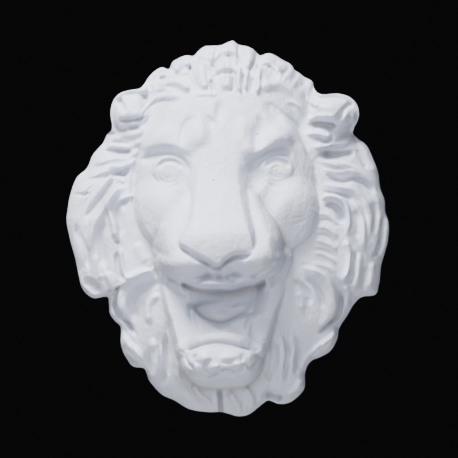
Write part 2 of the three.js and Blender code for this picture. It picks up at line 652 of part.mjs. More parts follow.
// Muzzle: flanks beside the nose, pads under it, the nose itself and the upper lip
function muzzle(x, z, upper) {
  let height = upper;
  if (z < FLANKS.from && z > FLANKS.to) {
    height = blend(height, flankProw.height(x, z), FLANKS.fillet);
  }
  for (const pad of PADS) {
    height = joinDome(x, z, height, pad);
  }
  if (z < NOSE.starts) {
    height = blend(height, nose(x, z), NOSE.fillet);
  }
  height = lip.join(x, z, height);
  for (const furrow of lipFurrows) {
    height += furrow.at(x, z);
  }
  return height;
}

// Mouth: a hollow with a floor that rises towards the lower lip
function hollowed(x, z, height) {
  const floor = MOUTH.floor + MOUTH.rise * max(MOUTH.deepest - z, 0);
  const under = MOUTH_FOLD.fall * max(MOUTH_FOLD.foot - z, 0);
  const fold = MOUTH_FOLD.top - MOUTH_FOLD.slope * (x - MOUTH_FOLD.start) - under;
  const aside = ease(...MOUTH.softAcross, abs(x - MOUTH_CENTRE[0]));
  const reach = MOUTH.sharpness + MOUTH.softness * aside * ease(...MOUTH.softDown, z);
  const share = ease(-reach, reach, mouthEdge.inside(x, z));
  return height * (1 - share) + blend(floor, fold, MOUTH_FOLD.fillet) * share;
}

// Lower jaw: a trough from corner to corner with its inside rising to the lip
function jaw(x, z) {
  const { along, off } = jawWall.measure(x, z);
  const crest = throughKnots(along, jawStations, JAW_WALL.depths);
  const q = off / JAW_WALL.width;
  const beyond = max(q - 1, 0) * JAW_WALL.width * JAW_WALL.steepness;
  const wall = crest - JAW_WALL.drop * min(q, 1) ** JAW_WALL.squareness - beyond;
  const up = JAW_FLOOR.slope * max(z - JAW_FLOOR.level, 0);
  const aside = JAW_FLOOR.sides * max(abs(x - JAW_FLOOR.middle) - JAW_FLOOR.half, 0);
  const down = JAW_FLOOR.fall * max(JAW_FLOOR.foot - z, 0);
  return blend(wall, JAW_FLOOR.top - up - aside - down, JAW_WALL.fillet);
}

const chinDown = CHIN.levels.map(([z]) => -z);
const chinDepths = CHIN.levels.map(([, depth]) => depth);

function chin(x, z) {
  const top = throughKnots(-z, chinDown, chinDepths);
  const [dx, dz] = [x - CHIN.at[0], z - CHIN.at[1]];
  const u = abs((dx + CHIN.lean * dz) / CHIN.half);
  const v = dz > 0 ? dz / max(CHIN.above - CHIN.arch * dx * dx, CHIN.lowest) : -dz / CHIN.below;
  const r = u ** CHIN.across + v ** (dz > 0 ? CHIN.up : CHIN.down);
  return r < 1 ? CHIN.foot + (top - CHIN.foot) * (1 - r) ** CHIN.power : CHIN.foot - (r - 1) * CHIN.sides;
}

function face(x, z) {
  let height = hollowed(x, z, muzzle(x, z, upperFace(x, z)));
  height = lowerLip.join(x, z, blend(height, jaw(x, z), JAW_FILLET));
  height = hollowed(x, z, blend(height, chin(x, z), FACE_FILLET));
  for (const line of chinLines) {
    height += line.at(x, z);
  }
  return height;
}

// Height of the relief over the wall at a place inside the outline
function relief(x, z) {
  const insideFace = faceEdge.inside(x, z);
  const hair = mane(x, z) - HAIR_FALL * max(insideFace, 0);
  const front = limit(x, z, face(x, z)) - FACE_FALL * max(-insideFace, 0);
  return blend(hair, front, FACE_FILLET) - FACE_GROOVE.depth * max(1 - abs(insideFace) / FACE_GROOVE.reach, 0);
}

// The same height evened out over the size of a cell, so that steep walls run straight
function evenRelief(x, z) {
  let sum = 2 * relief(x, z);
  for (let i = 0; i < RING_SAMPLES; i += 1) {
    const turn = (2 * PI * i) / RING_SAMPLES;
    sum += relief(x + RING_RADIUS * cos(turn), z + RING_RADIUS * sin(turn));
  }
  return sum / (RING_SAMPLES + 2);
}

// A square sheet stretched over the outline, with its cells closer together on the face
function place(s, t) {
  const closer = (v) => v * (CENTRE_SPACING + (1 - CENTRE_SPACING) * v * v);
  const p = closer(s) * sqrt(1 - closer(t) ** 2 / 2);
  const q = closer(t) * sqrt(1 - closer(s) ** 2 / 2);
  const share = min(hypot(p, q), 1);
  const angle = atan2(q, p);
  const reach = share * outline.radius(angle);
  return [reach * cos(angle), reach * sin(angle)];
}

const CELL_CORNERS = 6;

// Turn the diagonal of each cell the way the relief falls least
function turnDiagonals(block) {
  const position = block.attributes.position;
  const index = block.index;
  const step = (i, k) => abs(position.getY(i) - position.getY(k));
  for (let cell = 0; cell < index.count; cell += CELL_CORNERS) {
    const [a, b, d] = [index.getX(cell), index.getX(cell + 1), index.getX(cell + 2)];
    const c = index.getX(cell + 4);
    if (step(a, c) < step(b, d)) {
      [a, b, c, a, c, d].forEach((corner, i) => index.setX(cell + i, corner));
    }
  }
}

// Block whose front carries the relief and whose back reaches behind the wall
function reliefBlock() {
  const block = new THREE.BoxGeometry(2, 2, 2, GRID_CELLS, GRID_CELLS, 1);
  const position = block.attributes.position;
  for (let i = 0; i < position.count; i += 1) {
    const [x, z] = place(position.getX(i), position.getY(i));
    const isFront = position.getZ(i) > 0;
    const depth = isFront ? evenRelief(x, z) : -BEHIND_WALL;
    const scale = (1 - depth / EYE_DISTANCE) * (isFront ? 1 : 1 - RIM_UNDERCUT);
    position.setXYZ(i, x * scale, -depth, z * scale);
  }
  turnDiagonals(block);
  return block;
}

const wasm = await Module();
wasm.setup();

function toSolid(geometry) {
  const bare = geometry.clone();
  bare.deleteAttribute("normal");
  bare.deleteAttribute("uv");
  const merged = mergeVertices(bare, 1e-4);
  const vertProperties = new Float32Array(merged.attributes.position.array);
  const triVerts = new Uint32Array(merged.index.array);
  return new wasm.Manifold(new wasm.Mesh({ numProp: 3, vertProperties, triVerts }));
}

function toGeometry(solid) {
  const mesh = solid.getMesh();
  const geometry = new THREE.BufferGeometry();
  geometry.setAttribute("position", new THREE.BufferAttribute(mesh.vertProperties, 3));
  geometry.setIndex(new THREE.BufferAttribute(mesh.triVerts, 1));
  geometry.computeVertexNormals();
  return geometry;
}

// Everything in front of the wall plane
const ROOM_DEPTH = 300;
const ROOM_SIDE = 600;
const inFrontOfWall = new THREE.BoxGeometry(ROOM_SIDE, ROOM_DEPTH, ROOM_SIDE).translate(0, -ROOM_DEPTH / 2, 0);

const lionMask = new THREE.Mesh(
  toGeometry(toSolid(reliefBlock()).intersect(toSolid(inFrontOfWall))),
  new THREE.MeshStandardMaterial({ color: PLASTER_COLOUR, roughness: 0.85, metalness: 0 }),
);
lionMask.name = "lion_mask";

const part = new THREE.Group();
part.add(lionMask);

export default part;
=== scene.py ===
"""A plaster lion mask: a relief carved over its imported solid, with its finish and a studio.

The front is one height over the wall plane, carved form by form: the mane and its locks, the ears,
the face and its parts. A raster reads that height once, the cast turns it into the plaster body
with its edge and flat back, and the finish paints it.
"""
from __future__ import annotations

import logging
import math
from dataclasses import dataclass, field
from enum import Enum
from typing import Sequence

import bpy
import numpy as np
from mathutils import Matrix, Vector


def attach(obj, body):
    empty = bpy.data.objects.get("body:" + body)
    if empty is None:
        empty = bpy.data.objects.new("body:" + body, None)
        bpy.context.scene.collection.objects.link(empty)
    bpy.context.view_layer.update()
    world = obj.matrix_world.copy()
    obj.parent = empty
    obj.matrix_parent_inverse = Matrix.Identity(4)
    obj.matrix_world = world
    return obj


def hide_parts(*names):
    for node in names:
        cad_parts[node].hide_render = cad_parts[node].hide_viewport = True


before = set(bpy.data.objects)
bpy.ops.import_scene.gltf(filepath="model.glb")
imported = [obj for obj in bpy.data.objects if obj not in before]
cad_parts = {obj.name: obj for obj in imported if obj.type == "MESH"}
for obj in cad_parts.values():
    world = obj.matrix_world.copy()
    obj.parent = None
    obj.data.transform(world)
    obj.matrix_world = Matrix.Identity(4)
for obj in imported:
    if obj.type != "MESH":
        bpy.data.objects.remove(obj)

LOG = logging.getLogger("lion_mask")

# Places are x to the right and z up on the plane that the viewer sees, and heights are over the
# wall, all in millimetres. The cast turns them to metres in the frame.

Field = np.ndarray
Point = tuple[float, float]

# How steeply forms fall past their edge, how far they can reach, and how narrow a fold's tip is
OUTER_FALL = 2.5
OUTER_SLOPE = 3.0
DOME_REACH = 1.7
RIDGE_REACH = 2.5
TIP_WIDTH = 0.45


def ease(low: float, high: float, value: Field) -> Field:
    """Return an eased step.

    Args:
        low: Value where the step starts.
        high: Value where the step ends.
        value: Where to read it.

    Returns:
        0 before low, 1 after high, and a smooth rise between them.
    """
    t = np.clip((value - low) / (high - low), 0.0, 1.0)
    return t * t * (3.0 - 2.0 * t)


def blend(a: Field, b: Field, fillet: float) -> Field:
    """Return the greater of two heights, with a fillet where they meet.

    Args:
        a: First height.
        b: Second height.
        fillet: Size of the fillet in millimetres.

    Returns:
        The joined height.
    """
    h = np.clip(0.5 + 0.5 * (a - b) / fillet, 0.0, 1.0)
    return b * (1.0 - h) + a * h + fillet * h * (1.0 - h)


def through(value: Field, knots: Sequence[float], heights: Sequence[float]) -> Field:
    """Return a smooth curve through knots that never overshoots them.

    Args:
        value: Where to read the curve.
        knots: Places of the knots, rising.
        heights: Height at each knot.

    Returns:
        The curve's height at each value.
    """
    xs = np.asarray(knots, float)
    ys = np.asarray(heights, float)
    rise = np.diff(ys) / np.diff(xs)
    slope = np.zeros_like(ys)
    product = rise[1:] * rise[:-1]
    total = np.where(np.abs(rise[1:] + rise[:-1]) < 1e-12, 1.0, rise[1:] + rise[:-1])
    slope[1:-1] = np.where(product > 0, 2.0 * product / total, 0.0)
    at = np.clip(value, xs[0], xs[-1])
    i = np.clip(np.searchsorted(xs, at) - 1, 0, len(xs) - 2)
    span = xs[i + 1] - xs[i]
    return hermite((at - xs[i]) / span, span, ys[i], ys[i + 1], slope[i], slope[i + 1])


def profile(value: Field, knots: Sequence[Point]) -> Field:
    """Return a smooth curve through knots given as pairs.

    Args:
        value: Where to read the curve.
        knots: Pairs of a place and the height there, rising by place.

    Returns:
        The curve's height at each value.
    """
    return through(value, [place for place, _ in knots], [height for _, height in knots])


def hermite(t: Field, span: Field, y0: Field, y1: Field, m0: Field, m1: Field) -> Field:
    """Return a cubic between two heights with given slopes at its ends.

    Args:
        t: Share of the way from the first end to the second.
        span: Distance between the ends.
        y0: Height at the first end.
        y1: Height at the second end.
        m0: Slope at the first end.
        m1: Slope at the second end.

    Returns:
        The height at t.
    """
    t2 = t * t
    t3 = t2 * t
    return (
        (2 * t3 - 3 * t2 + 1) * y0
        + (3 * t2 - 2 * t3) * y1
        + ((t3 - 2 * t2 + t) * m0 + (t3 - t2) * m1) * span
    )


class Way:
    """A smooth line over the relief that other forms follow."""

    def __init__(self, points: Sequence[Point], steps: int = 6) -> None:
        """Lay a spline through the points, whose slope at each is set by its two neighbours.

        Args:
            points: Places [x, z] that the line passes, in millimetres.
            steps: Straight pieces between two places.
        """
        p = np.array(points, float)
        p = np.vstack([2 * p[0] - p[1], p, 2 * p[-1] - p[-2]])
        t = np.linspace(0, 1, steps, endpoint=False)[:, None]
        spans = []
        for a, b, c, d in zip(p[:-3], p[1:-2], p[2:-1], p[3:]):
            cubic = 3 * b - a - 3 * c + d
            spans.append(0.5 * (2 * b + (c - a) * t + (2 * a - 5 * b + 4 * c - d) * t**2 + cubic * t**3))
        self.points = np.vstack([*spans, p[-2][None]])
        self.legs = np.diff(self.points, axis=0)
        self.lengths = np.hypot(self.legs[:, 0], self.legs[:, 1])
        self.travelled = np.concatenate([[0.0], np.cumsum(self.lengths)])
        self.low = self.points.min(axis=0)
        self.high = self.points.max(axis=0)

    def near(self, x: Field, z: Field, reach: float) -> Field:
        """Return which places lie within reach of the line's box."""
        low, high = self.low - reach, self.high + reach
        return (x > low[0]) & (x < high[0]) & (z > low[1]) & (z < high[1])

    def measure(self, x: Field, z: Field) -> tuple[Field, Field]:
        """Return how far along the line each place is, and how far beside it.

        Args:
            x: Places across, in millimetres.
            z: Places up, in millimetres.

        Returns:
            The share of the line's length, and the distance, positive on the line's left.
        """
        least = np.full(x.shape, np.inf)
        along = np.zeros(x.shape)
        side = np.zeros(x.shape)
        for start, leg, length, before in zip(self.points, self.legs, self.lengths, self.travelled):
            dx, dz = x - start[0], z - start[1]
            share = np.clip((dx * leg[0] + dz * leg[1]) / length**2, 0.0, 1.0)
            off = np.hypot(dx - share * leg[0], dz - share * leg[1])
            closer = off < least
            least = np.where(closer, off, least)
            along = np.where(closer, (before + share * length) / self.travelled[-1], along)
            left = np.where(leg[0] * dz - leg[1] * dx < 0, -1.0, 1.0)
            side = np.where(closer, left * off, side)
        return along, side


class Loop:
    """A closed edge, held as a radius over the turn about its centre."""

    def __init__(self, points: Sequence[Point], centre: Point, rounded: bool = False) -> None:
        """Order the edge's corners by their turn.

        Args:
            points: Corners [x, z] in millimetres.
            centre: Point that every corner is seen from.
            rounded: Whether the edge runs in curves through its corners.
        """
        self.centre = centre
        self.rounded = rounded
        turns = np.array([math.atan2(z - centre[1], x - centre[0]) for x, z in points])
        reach = np.array([math.hypot(x - centre[0], z - centre[1]) for x, z in points])
        order = np.argsort(turns)
        turns, reach = turns[order], reach[order]
        self.turns = np.concatenate([turns - 2 * np.pi, turns, turns + 2 * np.pi])
        self.reach = np.tile(reach, 3)

    def radius(self, turn: Field) -> Field:
        """Return the edge's distance from the centre at each turn.

        Args:
            turn: Turns about the centre, in radians.

        Returns:
            The distance at each turn, in millimetres.
        """
        if not self.rounded:
            return np.interp(turn, self.turns, self.reach)
        i = np.clip(np.searchsorted(self.turns, turn) - 1, 1, len(self.turns) - 3)
        rise = np.diff(self.reach) / np.diff(self.turns)
        slope = np.zeros_like(self.reach)
        slope[1:-1] = 0.5 * (rise[1:] + rise[:-1])
        span = self.turns[i + 1] - self.turns[i]
        t = (turn - self.turns[i]) / span
        return hermite(t, span, self.reach[i], self.reach[i + 1], slope[i], slope[i + 1])

    def inside(self, x: Field, z: Field) -> Field:
        """Return the distance to the edge along the ray from the centre, positive inside."""
        dx, dz = x - self.centre[0], z - self.centre[1]
        return self.radius(np.arctan2(dz, dx)) - np.hypot(dx, dz)


class Form:
    """Something carved on the relief that changes its height near one place."""

    def covers(self, x: Field, z: Field) -> Field:
        """Return which places the form can change."""
        raise NotImplementedError

    def carve(self, x: Field, z: Field, height: Field) -> Field:
        """Return the new height at places that the form covers."""
        raise NotImplementedError

    def apply(self, x: Field, z: Field, height: Field) -> Field:
        """Return the height of the whole relief with the form carved on it.

        Args:
            x: Places across, in millimetres.
            z: Places up, in millimetres.
            height: Height over the wall before.

        Returns:
            The height after.
        """
        near = self.covers(x, z)
        after = height.copy()
        after[near] = self.carve(x[near], z[near], height[near])
        return after


@dataclass(frozen=True)
class Dome(Form):
    """A rounded mass on an ellipse, joined to what is under it by a fillet."""

    at: Point
    radii: Point
    foot: float
    top: float
    power: float = 0.5
    fillet: float = 6.0

    def covers(self, x: Field, z: Field) -> Field:
        """Return the places in a box somewhat wider than the ellipse."""
        wide = [DOME_REACH * radius for radius in self.radii]
        return (np.abs(x - self.at[0]) < wide[0]) & (np.abs(z - self.at[1]) < wide[1])

    def surface(self, x: Field, z: Field) -> Field:
        """Return the dome's own height, falling steeply outside its ellipse.

        Args:
            x: Places across, in millimetres.
            z: Places up, in millimetres.

        Returns:
            The dome's height over the wall.
        """
        r2 = ((x - self.at[0]) / self.radii[0]) ** 2 + ((z - self.at[1]) / self.radii[1]) ** 2
        inner = self.foot + (self.top - self.foot) * np.clip(1 - r2, 0, 1) ** self.power
        outer = self.foot - (np.sqrt(np.maximum(r2, 1)) - 1) * min(self.radii) * OUTER_FALL
        return np.where(r2 < 1, inner, outer)

    def carve(self, x: Field, z: Field, height: Field) -> Field:
        """Join the dome to the height."""
        return blend(height, self.surface(x, z), self.fillet)


@dataclass(frozen=True)
class Swell(Form):
    """A soft swelling on a turned ellipse, or a hollow where the amount is negative."""

    at: Point
    radii: Point
    amount: float
    turn: float = 0.0

    def covers(self, x: Field, z: Field) -> Field:
        """Return the places in a box round the ellipse."""
        wide = max(self.radii)
        return (np.abs(x - self.at[0]) < wide) & (np.abs(z - self.at[1]) < wide)

    def carve(self, x: Field, z: Field, height: Field) -> Field:
        """Add the swelling to the height.

        Args:
            x: Places across, in millimetres.
            z: Places up, in millimetres.
            height: Height over the wall before.

        Returns:
            The height after.
        """
        c, s = math.cos(math.radians(self.turn)), math.sin(math.radians(self.turn))
        dx, dz = x - self.at[0], z - self.at[1]
        u, v = (dx * c + dz * s) / self.radii[0], (dz * c - dx * s) / self.radii[1]
        return height + self.amount * np.clip(1 - u * u - v * v, 0, 1) ** 2


class Fold(Form):
    """A fold of hair or skin: a soft roll along a way, with its own fall on each side.

    A fold with one narrow side reads as a lock that lies over its neighbour, and one with a
    negative amount is a furrow.
    """

    def __init__(
        self,
        points: Sequence[Point],
        left: float,
        right: float,
        amount: float,
        ends: Point = (0.3, 0.3),
    ) -> None:
        """Lay the fold along its points.

        Args:
            points: Places [x, z] along the crest, in millimetres.
            left: Width of the fall on the way's left.
            right: Width of the fall on its right.
            amount: Height of the crest, negative for a furrow.
            ends: Share of the length over which the fold fades in and out.
        """
        self.way = Way(points)
        self.left = left
        self.right = right
        self.amount = amount
        self.ends = ends

    def covers(self, x: Field, z: Field) -> Field:
        """Return the places near the way."""
        return self.way.near(x, z, max(self.left, self.right))

    def carve(self, x: Field, z: Field, height: Field) -> Field:
        """Add the fold to the height.

        Args:
            x: Places across, in millimetres.
            z: Places up, in millimetres.
            height: Height over the wall before.

        Returns:
            The height after.
        """
        along, side = self.way.measure(x, z)
        fade = ease(0, self.ends[0], along) * ease(0, self.ends[1], 1 - along)
        width = np.where(side > 0, self.left, self.right) * (TIP_WIDTH + (1 - TIP_WIDTH) * fade)
        q = np.clip(np.abs(side) / width, 0, 1)
        return height + self.amount * fade * (1 - q * q) ** 2


class Ridge(Form):
    """A rounded ridge that runs along a way at its own heights over the wall."""

    def __init__(
        self,
        points: Sequence[Point],
        width: float,
        heights: Sequence[float],
        drop: float = 14.0,
        fillet: float = 2.0,
    ) -> None:
        """Lay the ridge along its points.

        Args:
            points: Places [x, z] along the crest, in millimetres.
            width: Distance from the crest to the shoulder.
            heights: Heights of the crest, evenly spaced along the way.
            drop: How far the shoulder lies under the crest.
            fillet: Fillet where the ridge meets what is under it.
        """
        self.way = Way(points)
        self.width = width
        self.heights = heights
        self.drop = drop
        self.fillet = fillet

    def covers(self, x: Field, z: Field) -> Field:
        """Return the places near the way."""
        return self.way.near(x, z, self.width * RIDGE_REACH)

    def carve(self, x: Field, z: Field, height: Field) -> Field:
        """Join the ridge to the height.

        Args:
            x: Places across, in millimetres.
            z: Places up, in millimetres.
            height: Height over the wall before.

        Returns:
            The height after.
        """
        along, side = self.way.measure(x, z)
        crest = through(along, np.linspace(0, 1, len(self.heights)), self.heights)
        q = np.abs(side) / self.width
        round_part = self.drop * (1 - np.sqrt(np.clip(1 - q * q, 0, 1)))
        side_part = np.clip(q - 1, 0, None) * self.width * OUTER_SLOPE
        return blend(height, crest - round_part - side_part, self.fillet)


class Carving:
    """A sub-assembly of the relief: a set of forms carved one after another."""

    def forms(self) -> list[Form]:
        """Return the forms in the order that they are carved."""
        raise NotImplementedError

    def carve(self, x: Field, z: Field, height: Field) -> Field:
        """Return the height with every form of the sub-assembly carved.

        Args:
            x: Places across, in millimetres.
            z: Places up, in millimetres.
            height: Height over the wall before.

        Returns:
            The height after.
        """
        for form in self.forms():
            height = form.apply(x, z, height)
        return height
@dataclass
class Mane(Carving):
    """The full rounded mane: combed tresses, the folds laid over them and the gaps between."""

    edge: Loop = field(default_factory=lambda: Loop(OUTLINE, (0, 0), rounded=True))
    rim: float = 24.0
    crest: float = 92.0
    fullness: float = 2.6
    crown: Dome = Dome((5, 130), (100, 97), 24, 107, 0.5, 8)

    def base(self, x: Field, z: Field) -> Field:
        """Return the height of the mane without its locks.

        Args:
            x: Places across, in millimetres.
            z: Places up, in millimetres.

        Returns:
            The height over the wall.
        """
        share = np.clip(np.hypot(x, z) / self.edge.radius(np.arctan2(z, x)), 0, 1)
        height = self.rim + (self.crest - self.rim) * np.sqrt(np.clip(1 - share**self.fullness, 0, 1))
        return blend(height, self.crown.surface(x, z), self.crown.fillet)

    def forms(self) -> list[Form]:
        """Return every fold and groove of the hair, each region from the crown down.

        Returns:
            The folds, then the fine grooves of the combs.
        """
        folds = [
            Fold(points, left, right, depth * amount, *(ends or [LOCK_ENDS]))
            for region, depth in HAIR
            for points, left, right, amount, *ends in region
        ]
        strands = [fold for comb in COMBS for fold in comb.folds()]
        return [*folds, *strands]


@dataclass(frozen=True)
class Comb:
    """Fine grooves side by side, shared out between a first way and a last one."""

    first: Sequence[Point]
    last: Sequence[Point]
    count: int
    width: float = 2.4
    amount: float = -1.8

    def folds(self) -> list[Form]:
        """Return the grooves, from the first way to the last.

        Returns:
            One narrow furrow for each groove.
        """
        first, last = np.array(self.first, float), np.array(self.last, float)
        shares = np.linspace(0, 1, self.count)
        return [Fold(first + (last - first) * t, self.width, self.width, self.amount) for t in shares]


@dataclass
class Ear(Carving):
    """A round ear: a low cup with a thin rim, a dark hollow and a tuft in it."""

    cup: Dome
    tuft: Sequence[Form]
    hollow: Sequence[Form]
    rim: Ridge

    def forms(self) -> list[Form]:
        """Return the tuft, the hollow beside it and the rim."""
        return [*self.tuft, *self.hollow, self.rim]


# The mask's edge, the face's edge within the hair, and the crease along the left temple
OUTLINE = (
    (5, 226), (-1, 224), (-8, 221), (-20, 220), (-29, 219), (-36, 214), (-42, 208), (-50, 208.5),
    (-61, 204.5),
    (-68, 199.5), (-71, 192.5), (-74, 192), (-79, 194), (-88, 190), (-95, 183.5), (-106, 169),
    (-116, 167), (-130, 163), (-138, 155), (-142, 140),
    (-140, 120), (-146, 113), (-151, 103), (-163, 89), (-171, 72), (-182, 62), (-190, 42), (-194, 20),
    (-195, 12), (-191, -12), (-184, -38), (-180, -58), (-176, -72), (-168, -81), (-160, -84), (-148, -82),
    (-144, -90), (-143, -102), (-136, -112), (-130, -118), (-129, -142), (-123, -156), (-115, -166),
    (-101, -169), (-96, -182), (-90, -190), (-80, -200), (-65, -207), (-48, -217), (-25, -221), (-8, -221),
    (0, -223), (11, -226), (24, -224), (40, -212), (48, -207), (60, -211), (72, -210), (84, -202),
    (92, -190), (92, -176), (98, -161), (112, -154), (122, -148), (131, -132), (133, -121), (144, -103),
    (152, -90), (162, -82), (176, -80), (181, -68), (184, -44), (192, -14), (193, 6), (189, 20), (188, 34),
    (183, 48), (180, 68), (174, 84), (166, 100), (154, 110), (149, 117), (156, 131), (157, 140),
    (154, 150), (146, 158), (134, 162), (110, 162), (103, 169), (101.5, 176), (92, 182), (84, 188),
    (79, 191.5), (77, 195.5), (65, 203), (55, 209), (48, 211), (38, 208.5), (35, 210.5), (30, 215.5),
    (23, 219), (12, 221.5),
)
FACE_EDGE = (
    (0, 158), (-40, 156), (-70, 144), (-88, 123), (-100, 105), (-107, 87), (-113, 68), (-115, 45),
    (-112, 25), (-106, 3), (-94, -14), (-85, -32), (-81, -50), (-75, -86), (-67, -110), (-62, -134),
    (-58, -152), (-51, -173), (-37, -186), (-8, -191), (20, -186), (32, -176), (41, -152), (48, -128),
    (56, -98), (65, -80), (70, -56), (76, -24), (95, -10), (109, 6), (112, 33), (110, 55), (104, 72),
    (94, 87), (86, 105), (78, 120), (62, 137), (41, 155), (20, 159),
)
TEMPLE_LINE = (
    (-40, 157), (-70, 144), (-88, 123), (-100, 105), (-107, 87), (-113, 68), (-115, 45), (-112, 25),
    (-106, 3), (-94, -14), (-85, -32), (-81, -50),
)
# Locks and the furrows between them: the points, the fall on the left and on the right of the
# way, the height, and the share over which the ends fade where it isn't the usual one
LOCK_ENDS = (0.2, 0.2)
CROWN_FOLDS = (
    (((-36, 201), (-34, 190), (-31, 178), (-27, 165)), 8, 7, 5),
    (((-47, 199), (-45, 188), (-41, 177), (-36, 165)), 3, 3, -6.5),
    (((-42, 193), (-35, 199.5), (-27, 199), (-23, 193), (-19, 183)), 8, 2.2, -7.5),
    (((-8, 202), (-6, 190), (-4, 178), (-2, 165)), 11, 10, 4.5),
    (((-17, 186), (-15, 197), (-8, 204.5), (0, 206), (8, 204), (13, 198)), 9, 2.4, -9),
    (((-20, 180), (-10, 185), (0, 186.5), (10, 185)), 7, 2.4, -6),
    (((9, 190), (7, 180), (4, 170), (3, 162)), 2.6, 2.6, -6.5),
    (((-22, 180), (-19, 171), (-18, 162)), 2.6, 2.6, -6),
    (((12, 224), (12, 213), (12, 203), (14, 194)), 2.6, 2.4, -7.5),
    (((23, 221), (27, 210), (24, 199), (20, 190)), 7, 6, 5.5),
    (((31, 217), (33, 207), (30, 198), (26, 189)), 2.6, 2.6, -6),
    (((-2, 222), (-3, 214), (-1, 207)), 5, 5, 3),
    (((-14, 221), (-14, 213), (-19, 204)), 3, 3, -4),
    (((-28, 220), (-26, 212), (-26, 203)), 4, 4, -4),
    (((14, 197), (12, 184), (13, 172), (16, 162)), 5, 5, 5.5),
    (((18, 188), (16, 176), (18, 163)), 2.4, 2.4, -6),
    (((23, 192), (21, 178), (20, 165)), 4.5, 4.5, 5),
    (((29, 182), (28, 172), (27, 164)), 3.5, 3.5, -3.5),
    (((38, 196), (36, 184), (36, 172), (33, 160)), 5, 4, 5),
)
LEFT_CROWN_FOLDS = (
    (((-54, 205), (-52, 195), (-54, 184)), 7, 7, 5),
    (((-70, 188), (-67, 196), (-60, 200.5), (-51, 202)), 6, 2.4, -5.5),
    (((-64, 181), (-58, 188), (-50, 191.5), (-42, 190)), 8, 2.4, -7.5),
    (((-72, 197), (-66, 189), (-56, 182)), 3, 3, -4),
    (((-82, 190), (-76, 184), (-66, 180)), 6, 5, 4.5),
    (((-94, 173), (-91, 181), (-85, 186), (-73, 187)), 6, 2.4, -6),
    (((-83, 177), (-75, 181.5), (-64, 180)), 6, 2.4, -6.5),
    (((-90, 172), (-80, 175), (-70, 178), (-60, 177), (-50, 171), (-44, 163)), 4, 9, 6),
    (((-100, 176), (-92, 173), (-86, 170)), 4, 4, 4),
)
LEFT_TEMPLE_FOLDS = (
    (((-104, 162), (-95, 166), (-85, 168), (-74, 167), (-62, 164)), 3, 5, 3),
    (((-112, 130), (-102, 140), (-95, 152), (-87, 158), (-78, 161), (-62, 160), (-50, 155)), 3, 9, 4),
    (((-106, 132), (-98, 142), (-91, 150), (-80, 154), (-66, 152)), 2.5, 3.5, -2.5),
    (((-107, 92), (-98, 111), (-90, 121), (-79, 134), (-64, 147), (-46, 157), (-30, 161),
        (-8, 161)), 6, 4, 4, (0.1, 0.1)),
    (((-96, 140), (-101, 132), (-109, 127), (-122, 125)), 3, 6, 4),
    (((-135, 128), (-121, 129), (-108, 131), (-99, 136)), 3, 3, -4),
    (((-104, 117), (-112, 121), (-124, 121)), 3, 4, -3),
    (((-97, 124), (-110, 115), (-126, 112), (-143, 108)), 7, 5, 4),
    (((-144, 102), (-130, 103), (-118, 101)), 2.5, 3.5, -3),
    (((-102, 108), (-116, 99), (-132, 98), (-146, 100)), 4, 5, 3),
    (((-140, 116), (-146, 108), (-150, 98)), 3, 4, -3),
    (((-150, 93), (-138, 94), (-126, 93), (-114, 92)), 4, 9, -7),
    (((-104, 96), (-122, 86), (-144, 82), (-166, 76)), 5, 8, 3.5),
    (((-108, 84), (-128, 74), (-150, 68), (-174, 60)), 5, 9, 5),
    (((-146, 68), (-138, 69), (-128, 67), (-117, 70)), 7, 7, -5),
)
LEFT_MANE_FOLDS = (
    (((-128, 66), (-139, 58), (-151, 43), (-161, 30), (-170, 17), (-176, 4)), 13, 4.5, -8, (0.3, 0.35)),
    (((-158, 62), (-174, 48), (-184, 28), (-188, 4), (-185, -24), (-177, -58)), 12, 9, 5, (0.2, 0.2)),
    (((-188, 42), (-177, 41), (-166, 43)), 2.2, 4, -3),
    (((-116, 50), (-132, 47), (-144, 36), (-154, 20), (-163, 4), (-167, -16),
        (-166, -40)), 8, 5, 6, (0.3, 0.3)),
    (((-184, 10), (-182, -5), (-176, -17), (-171, -30), (-168, -52)), 5, 3, -5),
    (((-141, 60), (-133, 64.5), (-121, 62)), 5, 2.4, -5),
    (((-134, 56), (-130, 57.5), (-126, 55)), 3, 2.4, 3),
    (((-128, 56), (-139, 44), (-146, 31), (-142, 16), (-137.5, 0), (-136, -15)), 6, 5, 7, (0.2, 0.12)),
    (((-112, 40), (-122, 38), (-130, 33)), 3.5, 3.5, 4),
    (((-118, 34), (-128, 31), (-134, 22), (-131, 4), (-130, -12)), 9, 3, -5),
    (((-136, -14.5), (-132, -18)), 3, 3, -5),
    (((-131, -20), (-129, -36), (-126.5, -51), (-122, -59), (-115, -57)), 5, 4, 5.5, (0.2, 0.15)),
    (((-150, 14), (-153, -6), (-152, -28), (-148, -50)), 8, 8, -5),
    (((-134, -26), (-133, -44), (-130, -56), (-122, -63)), 2.4, 5, -5),
    (((-112, -16), (-106, -30), (-99, -42)), 8, 8, 2.5),
    (((-160, -30), (-158, -48), (-154, -64)), 8, 8, 3),
    (((-176, -60), (-164, -68), (-152, -78)), 8, 10, -8, (0.3, 0.3)),
    (((-182, -48), (-178, -62), (-168, -76)), 5, 5, 3),
    (((-148, -50), (-142, -66), (-138, -82)), 8, 6, 4),
)
